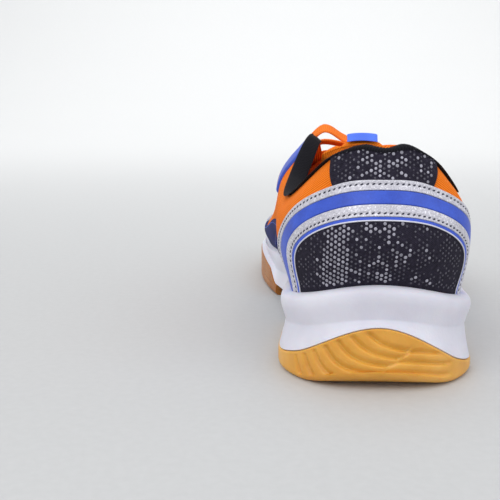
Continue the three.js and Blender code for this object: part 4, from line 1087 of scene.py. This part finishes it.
def print_dots(name, pitch, low_v, high_v, inside, bright, half_width):
    """Raised dots on a hexagonal lattice, columns upright. bright is the share of pale dots at [u, rise]."""
    s_line = np.linspace(-2.4, 2.4, 600)
    rise_v = np.linspace(low_v, high_v, 200)
    rib = net_point(0.0 * rise_v, rise_v)
    rise = run_length(rib)
    spots, tones, sizes = [], [], []
    for row, height in enumerate(np.arange(pitch * 0.4, rise[-1], pitch / 2)):
        v = np.interp(height, rise, rise_v)
        line = net_point(s_line, v + 0 * s_line)
        u_line = run_length(line)
        u_line = u_line - np.interp(0, s_line, u_line)
        step = pitch * math.sqrt(3)
        for u in np.arange(-half_width, half_width, step) + (row % 2) * step / 2:
            luck, shade, swell, shift = rng.random(4)
            s = np.interp(u + (shift - 0.5) * 0.16, u_line, s_line)
            if not inside(s, v):
                continue
            pale = luck < bright(u, height)
            if not pale and swell > 0.72:
                continue
            spots.append((s, v))
            tones.append(0.45 + 0.55 * shade if pale else 0.03 + 0.17 * shade**2)
            sizes.append(0.6 + 0.16 * swell if pale else 0.4 + 0.24 * swell)
    s, v = np.array(spots).T
    centres = layer_point(s, v, GAP + OVERLAY_THICKNESS * 0.75)
    outward, up = net_frame(s, v)
    width = np.array(sizes) * pitch
    size = np.stack([width * 1.06, width, 0 * width + 0.22], axis=1)
    scatter(name, centres, up, outward, size, dome(), PRINT, "charcoal_textile", tones=np.array(tones))


def band_of(x, low, high, soft=2.0):
    return smooth(x, low - soft, low + soft) * smooth(x, high + soft, high - soft)


def patchy(u, h):
    """Slow wander between 0 and 1 that breaks the pale dots into groups."""
    return 0.5 + 0.28 * np.sin(0.61 * u + 0.35 * h) + 0.22 * np.sin(0.93 * h - 0.47 * u + 1.3)


def heel_prints():
    def lower_inside(s, v):
        edge = PIPING_EDGES[0]
        return OVERLAY_FOOT + 0.004 < v < panel_top(s / kept(edge, v), edge) - 0.016

    def lower_bright(u, h):
        dense = 0.98 * band_of(u, -23 + 0.06 * h, -11.8, 1.2)
        second = 0.62 * band_of(u, -2, 8.5, 1.6) * smooth(patchy(u, h), 0.25, 0.6)
        sparse = 0.16 * band_of(u, -11, 20, 3) + 0.05 * band_of(u, -26, -20, 2)
        return max(dense, second, sparse)

    print_dots("lower_panel_dots", 1.82, OVERLAY_FOOT, 0.5, lower_inside, lower_bright, 36)

    def tab_inside(s, v):
        reach = mix(TAB_BOTTOM, TAB_TOP, (v - 0.76) / 0.24)
        return abs(s) < reach - 0.08 and tab_foot(s) + 0.025 < v < 0.99

    def tab_bright(u, h):
        middle = 0.78 * band_of(u, -9, 8, 2.5) * smooth(patchy(u, 1.4 * h), 0.2, 0.55)
        return max(middle, 0.14 * band_of(u, -24, 24, 2))

    print_dots("tab_panel_dots", 1.75, 0.74, 0.995, tab_inside, tab_bright, 26)


def heel_bands():
    arch_band("arch_piping_film", *PIPING_EDGES, "arch_piping", BLUE, "blue_film", lift=-0.1)
    arch_line("piping_white_line", PIPING_EDGES[0], 0.55, WHITE_LINE, "silver_film")
    arch_band("inner_silver_film", ARCH_EDGES[0], ARCH_EDGES[1], "inner_silver_band", SILVER, "silver_film",
              stitched=0.28)
    arch_band("blue_arch_film", ARCH_EDGES[1], ARCH_EDGES[2], "blue_band", BLUE, "blue_film", lift=-0.12)
    arch_band("outer_silver_film", ARCH_EDGES[2], ARCH_EDGES[3], "outer_silver_band", SILVER, "silver_film",
              stitched=0.58)


# ---------- side panels, eyelets and lace ----------
SIDE_FILM_START, SIDE_FILM_END = 3.06, 7.32
EYESTAY_END = 7.7


def edge_stitching(name, s, v, material, slot_name):
    stitch_row(name, s, v, GAP + OVERLAY_THICKNESS - 0.1, 2.1, (1.4, 0.5, 0.45), material, slot_name)


def side_grid(side, start, end, foot, top, columns, rows):
    lengthways = edged(columns, 0.012)
    across = edged(rows)
    long_share, share = np.meshgrid(lengthways, across, indexing="ij")
    s = mix(start, end, long_share)
    v = mix(foot(long_share), top(long_share), share)
    return s * side, v, share, long_share


EYESTAY_BACK = {"lateral": 4.1, "medial": 4.5}


def eyestay_foot(station, back):
    """Lower edge of the lace panel: it drops from its rear corner, then rises towards the toe."""
    corner = 0.16 * smooth(station, back + 0.55, back) * (back < 4.4)
    return mix(0.6, 0.71, smooth(station, 4.5, 5.62)) + corner


def side_film_top(share):
    return 0.365 + 0.03 * np.sin(share * 2 * math.pi * 2.0)


def side_panel(side, name):
    s, v, share, long_share = side_grid(side, SIDE_FILM_START, SIDE_FILM_END,
                                        lambda t: OVERLAY_FOOT - 0.03 + 0 * t, side_film_top, 150, 26)
    overlay(name + "_side_film", s, v, share, long_share, NAVY, "navy_film", hides=(name + "_lower_overlay",))
    t = np.linspace(0.01, 0.99, 400)
    edge_stitching(name + "_side_stitching", side * mix(SIDE_FILM_START, SIDE_FILM_END, t),
                   side_film_top(t) - 0.03, THREAD_BLUE, "blue_film")


def eyestay(side, name):
    back = EYESTAY_BACK[name]
    foot = lambda t: eyestay_foot(mix(back, EYESTAY_END, t), back)
    s, v, share, long_share = side_grid(side, back, EYESTAY_END, foot, lambda t: 0.998 + 0 * t, 130, 24)
    obj = overlay(name + "_eyestay_film", s, v, share, long_share, BLUE, "blue_film", hides=(name + "_eyestay",))
    punch(obj, side)
    t = np.linspace(0.02, 0.98, 300)
    edge_stitching(name + "_eyestay_stitching", side * mix(back, EYESTAY_END, t), foot(t) + 0.035,
                   THREAD_ORANGE, "orange_lace")
    edge_stitching(name + "_throat_stitching", side * mix(5.05, 7.66, t), 0.968 + 0 * t,
                   THREAD_ORANGE, "orange_lace")


def side_panels():
    for side, name in SIDES:
        side_panel(side, name)
        eyestay(side, name)


def toe_guard():
    around = np.concatenate([np.linspace(7.34, TOE, 200), np.linspace(-TOE, -7.34, 200)[1:]])
    share = edged(26)
    s, across = np.meshgrid(around, share, indexing="ij")
    lengthways = np.linspace(0, 1, len(around))[:, None] + 0 * s
    v = mix(OVERLAY_FOOT - 0.03, 0.385, across)
    s = np.where(np.abs(s) > TOE - 0.001, TOE, s)
    overlay("toe_guard_film", s, v, across, lengthways, GREY, "grey_film", hides=("toe_guard",))
    line = np.concatenate([np.linspace(7.36, 9.94, 260), np.linspace(-9.94, -7.36, 260)])
    edge_stitching("toe_guard_stitching", line, 0.355 + 0 * line, THREAD_BLUE, "blue_film")


def eyelet_station(i):
    return mix(EYELET_FIRST, EYELET_LAST, i / (EYELETS - 1))


def eyelet_frames(side):
    s = side * np.array([eyelet_station(i) for i in range(EYELETS)])
    outward, up = net_frame(s, EYELET_ROW)
    return net_point(s, EYELET_ROW), outward, up


def punch(obj, side):
    """Round holes for the lace through a sheet."""
    centres, outward, up = eyelet_frames(side)
    sides = 28
    points, faces = [], []
    for centre, normal, rise in zip(centres, outward, up):
        across = np.cross(normal, rise)
        first = len(points)
        for depth in (-4, 5):
            for k in range(sides):
                turn = 2 * math.pi * k / sides
                rim = (rise * math.cos(turn) + across * math.sin(turn)) * (EYELET_DIAMETER / 2 - 0.5)
                points.append(centre + rim + normal * depth)
        for k in range(sides):
            a, b = first + k, first + (k + 1) % sides
            faces.append([a, b, b + sides, a + sides])
        faces += [[first + k for k in reversed(range(sides))], [first + sides + k for k in range(sides)]]
    mesh = bpy.data.meshes.new("punch")
    mesh.from_pydata((np.array(points) * MM + ORIGIN).tolist(), [], faces)
    turn_faces_out(mesh)
    tool = add_object("punch", mesh)
    bpy.context.view_layer.update()
    cut = obj.modifiers.new("holes", "BOOLEAN")
    cut.object = tool
    cut.operation = "DIFFERENCE"
    cut.solver = "EXACT"
    bpy.context.view_layer.update()
    with bpy.context.temp_override(object=obj, active_object=obj, selected_objects=[obj]):
        bpy.ops.object.modifier_apply(modifier=cut.name)
    bpy.data.objects.remove(tool)


def eyelet_rings():
    """Flat welded rim round each lace hole."""
    for side, name in SIDES:
        around, tube = 32, 10
        points, faces = [], []
        for centre, normal, rise in zip(*eyelet_frames(side)):
            across = np.cross(normal, rise)
            base = centre + normal * (GAP + OVERLAY_THICKNESS - 0.05)
            first = len(points)
            for i in range(around):
                turn = 2 * math.pi * i / around
                radial = rise * math.cos(turn) + across * math.sin(turn)
                for j in range(tube):
                    roll = 2 * math.pi * j / tube
                    radius = EYELET_DIAMETER / 2 - 0.1 + 0.62 * math.cos(roll)
                    points.append(base + radial * radius + normal * 0.34 * math.sin(roll))
            faces += grid_faces(around, tube, first, wrap_columns=True, wrap_rows=True)
        piece(name + "_eyelet_rims", np.array(points), faces, None, THREAD_DARK, "navy_film")


LACE_WIDTH, LACE_THICKNESS = 6.0, 1.25
LACE_BELOW = -SHELL_THICKNESS - LACE_THICKNESS / 2 - 0.5
TUCK_STATION = 5.6


def lace_route(side, start, end, over, tuck=False, loop=0.0):
    """Control points of one strand: up through an eyelet, across the tongue and down at the other side."""
    above = GAP + OVERLAY_THICKNESS + LACE_THICKNESS / 2 + 0.35
    s0, s1 = side * start, -side * end
    up0, up1 = net_frame(s0, 1.0)[1], net_frame(s1, 1.0)[1]
    leave = layer_point(s0, 1.0, above * 0.9) + up0 * (2.2 + loop)
    enter = layer_point(s1, 1.0, LACE_BELOW - 0.4) + up1 * 1.4
    middle = mix(leave, enter, 0.5) + np.array([0, 0, over])
    far = layer_point(s1, EYELET_ROW - (0.06 if tuck else 0), LACE_BELOW - (1.6 if tuck else 0))
    hole_row = EYELET_ROW - 0.01
    return np.array([layer_point(s0, hole_row, LACE_BELOW), layer_point(s0, hole_row, 0.2),
                     layer_point(s0, 0.905, above), leave,
                     mix(leave, middle, 0.5) + np.array([0, 0, over * 0.6]), middle, enter, far])


def ribbon(points, width_direction, steps):
    """Flat woven band along a route: returns the grid of its points, closed round its section."""
    places = np.linspace(0, len(points) - 1, steps)
    path = along(points, places)
    ahead = unit(np.gradient(path, axis=0))
    across = unit(width_direction - ahead * (ahead @ width_direction)[:, None])
    normal = np.cross(ahead, across)
    section = []
    for angle in np.linspace(0, 2 * math.pi, 18, endpoint=False):
        c, sn = math.cos(angle), math.sin(angle)
        wide = math.copysign(abs(c) ** 0.45, c) * LACE_WIDTH / 2
        thick = math.copysign(abs(sn) ** 0.75, sn) * LACE_THICKNESS / 2
        thick *= 1 + 0.12 * math.cos(3 * angle) ** 2
        section.append(path + across * wide + normal * thick)
    return np.stack(section, axis=1)


def throat_direction(station):
    """Direction of the throat's edge at a station, in the plane of the shoe's length and height."""
    lean = unit(top_edge(np.array(station + 0.2)) - top_edge(np.array(station - 0.2)))
    return unit(np.array([0, lean[1], lean[2]]))


def laces():
    points, faces, uvs = [], [], []

    def add(grid):
        first = sum(len(p) for p in points)
        columns, rows = grid.shape[:2]
        faces.extend(grid_faces(columns, rows, first, wrap_rows=True) + end_caps(columns, rows, first))
        points.append(grid.reshape(-1, 3))
        uvs.append(metric(grid).reshape(-1, 2))

    def strand(route, width_direction, steps):
        add(ribbon(route, width_direction, steps))
        return run_length(along(route, np.linspace(0, len(route) - 1, steps)))[-1]

    length = 0
    for i in range(EYELETS - 1):
        for side, over in ((1, 1.1), (-1, -0.7)):
            route = lace_route(side, eyelet_station(i), eyelet_station(i + 1), over)
            length += strand(route, throat_direction(eyelet_station(i)), 90)
    for side, over, loop in ((1, 2.4, 0.6), (-1, 0.6, 3.4)):
        route = lace_route(side, EYELET_LAST, TUCK_STATION, over, tuck=True, loop=loop)
        width_direction = unit(throat_direction(EYELET_LAST) + np.array([0, 0, 0.28 * loop]))
        length += strand(route, width_direction, 110)
    left, right = [layer_point(side * EYELET_FIRST, EYELET_ROW, LACE_BELOW) for side in (-1, 1)]
    bar = np.array([left, mix(left, right, 0.33) + (0, 0, 1.6), mix(left, right, 0.67) + (0, 0, 1.6), right])
    add(ribbon(bar, np.array([0, 1.0, -0.2]), 40))
    print("lace in view, mm", round(float(length)))
    piece("flat_lace", np.concatenate(points), faces, np.concatenate(uvs), LACE, "orange_lace",
          hides=("lace",))


# ---------- tongue ----------
TONGUE_LINE = [(0, 214, 40), (0, 190, 43.5), (0, 165, 52.5), (0, 140, 64), (-0.5, 118, 76), (-1.5, 104, 82.5),
               (-2.5, 94, 88.4)]
TONGUE_DROP = [3, 5, 8, 9.5, 11, 10, 5]
TONGUE_WIDTH = [14, 20, 23, 24, 24, 21.5, 19]
TONGUE_THICKNESS = [2, 3, 4, 5, 6, 6.5, 6.5]
TONGUE_END = len(TONGUE_LINE) - 1
TONGUE_HALF_WIDTH, LABEL_WIDTH = 25, 18
LABEL_START, LABEL_END = 5.33, TONGUE_END + 0.2


def tongue_point(t, across, depth):
    t, across, depth = np.broadcast_arrays(*(np.asarray(a, float) for a in (t, across, depth)))
    step = 0.05
    centre = along(TONGUE_LINE, t)
    ahead = unit(along(TONGUE_LINE, t + step) - along(TONGUE_LINE, t - step))
    up = unit(-np.cross(np.array([1.0, 0, 0]), ahead))
    drop = between(TONGUE_DROP, np.clip(t, 0, TONGUE_END)) * across**2
    point = centre.copy()
    point[..., 0] += across * between(TONGUE_WIDTH, np.clip(t, 0, TONGUE_END))
    point[..., 2] -= drop
    lean = up.copy()
    lean[..., 0] += across * drop / 18
    return point - unit(lean) * depth[..., None]


def tongue():
    """Padded tongue: two faces that swell between sewn channels and meet in a rounded border."""
    t = np.linspace(0, TONGUE_END + 0.02, 260)
    edge_angle = np.linspace(-math.pi / 2, math.pi / 2, 61)
    t, turn = np.meshgrid(t, edge_angle, indexing="ij")
    across = np.sin(turn)
    thickness = between(TONGUE_THICKNESS, np.clip(t, 0, TONGUE_END))
    end_round = np.sqrt(np.clip(1 - smooth(t, TONGUE_END - 0.35, TONGUE_END + 0.02) ** 2, 0.02, 1))
    body = np.abs(np.cos(turn)) ** 0.6 * end_round
    channels = 1 - 0.55 * np.exp(-((np.abs(across) - 0.52) * 14) ** 2) - 0.3 * np.exp(-((t - 4.35) * 9) ** 2)
    top = thickness / 2 - (thickness / 2) * body * channels
    bottom = thickness / 2 + (thickness / 2 + 0.6) * body
    outer, inner = tongue_point(t, across, top), tongue_point(t, across, bottom)
    obj = thick_sheet("padded_tongue", outer, inner, metric(outer, 0, 30), MESH, "orange_mesh", body=None,
                      hides=("tongue_base", "tongue_flap"), crease=70)
    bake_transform(obj)


def tongue_label():
    """Pull tab of woven tape on the tongue, folded over at its top, with a stitched border."""
    reach = LABEL_WIDTH / 2 / TONGUE_HALF_WIDTH
    t, share = np.meshgrid(edged(40, 0.05), edged(24, 0.05), indexing="ij")
    along_tongue = mix(LABEL_START, LABEL_END, t)
    across = mix(-reach, reach, share)
    height = 0.25 + 0.75 * rounded(share, 0.05) * rounded(t, 0.05)
    outer = tongue_point(along_tongue, across, -0.4 - 1.0 * height)
    inner = tongue_point(along_tongue, across, -0.35 + 3.0 * smooth(t, 0.9, 0.97))
    thick_sheet("woven_label", outer, inner, metric(outer), LABEL, "blue_label", body="tongue_top",
                hides=("tongue_label",))
    inner_share = 0.9
    corners = [(-1, 0.08), (-1, 0.92), (1, 0.92), (1, 0.08), (-1, 0.08)]
    path_across, path_t = [], []
    for (x0, t0), (x1, t1) in zip(corners, corners[1:]):
        steps = np.linspace(0, 1, 60, endpoint=False)
        path_across.append(mix(x0, x1, steps) * reach * inner_share)
        path_t.append(mix(LABEL_START, LABEL_END, mix(t0, t1, steps)))
    a, b = np.concatenate(path_across), np.concatenate(path_t)
    line = tongue_point(b, a, -1.42)
    stitch_line("label_stitching", line, unit(line - tongue_point(b, a, 0)), 1.5, (1.0, 0.4, 0.35),
                THREAD_BLUE, "blue_label", body="tongue_top")


# ---------- inside ----------
def insole():
    s = np.linspace(0.02, 9.98, 240)
    t = np.linspace(-1, 1, 61)
    inset = BOARD_INSET + 1.0
    floor = between(FLOOR_HEIGHT, s) + GAP + BOARD_THICKNESS + GAP
    lateral = sole_point(s, inset, floor)[:, None, :]
    medial = sole_point(-s, inset, floor)[:, None, :]
    base = mix(medial, lateral, (t[None, :, None] + 1) / 2)
    cup = 1.6 * smooth(np.abs(t), 0.72, 1.0)[None, :] * smooth(s, 7.5, 3.5)[:, None]
    arch = 2.2 * np.exp(-(((s - 4.4) / 1.2) ** 2))[:, None] * smooth(-t, 0.2, 1.0)[None, :]
    border = rounded((t[None, :] + 1) / 2, 0.02)
    top = base.copy()
    top[..., 2] += 0.8 + (SOCKLINER_THICKNESS - 0.8) * border + cup * border + arch * 0.4
    thick_sheet("soft_insole", top, base, metric(top, 0, 30), INSOLE, "footbed_fabric", body="footbed",
                hides=("sockliner",), crease=60)
    half = np.linspace(0.35, 9.3, 300)
    line_s = np.concatenate([-half[::-1], half])
    height = between(FLOOR_HEIGHT, np.abs(line_s)) + GAP * 2 + BOARD_THICKNESS + SOCKLINER_THICKNESS + 0.35
    line = sole_point(line_s, inset + 5.5, height)
    normals = np.tile(np.array([[0, 0, 1.0]]), (len(line), 1))
    stitch_line("insole_stitching", line, normals, 2.6, (1.7, 0.5, 0.5), THREAD_BLUE, "footbed_fabric",
                body="footbed")


def carried_over():
    """Nodes of the frame that stay as they are and take a finish here."""
    finishes = {"midfoot_shank": PLATE, "heel_cushion_insert": GEL, "forefoot_cushion_insert": GEL,
                "strobel_board": BOARD, "toe_puff": BOARD, "heel_counter": BOARD, "lateral_aglet": AGLET,
                "medial_aglet": AGLET}
    for name, material in finishes.items():
        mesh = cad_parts[name].data
        mesh.materials.clear()
        mesh.materials.append(material)


studio_camera()
studio_light()
studio_floor()
sole()
quarters()
vamp()
vamp_seams()
lining()
binding()
lower_panel()
tab_panel()
heel_prints()
heel_bands()
side_panels()
toe_guard()
eyelet_rings()
laces()
tongue()
tongue_label()
insole()
carried_over()
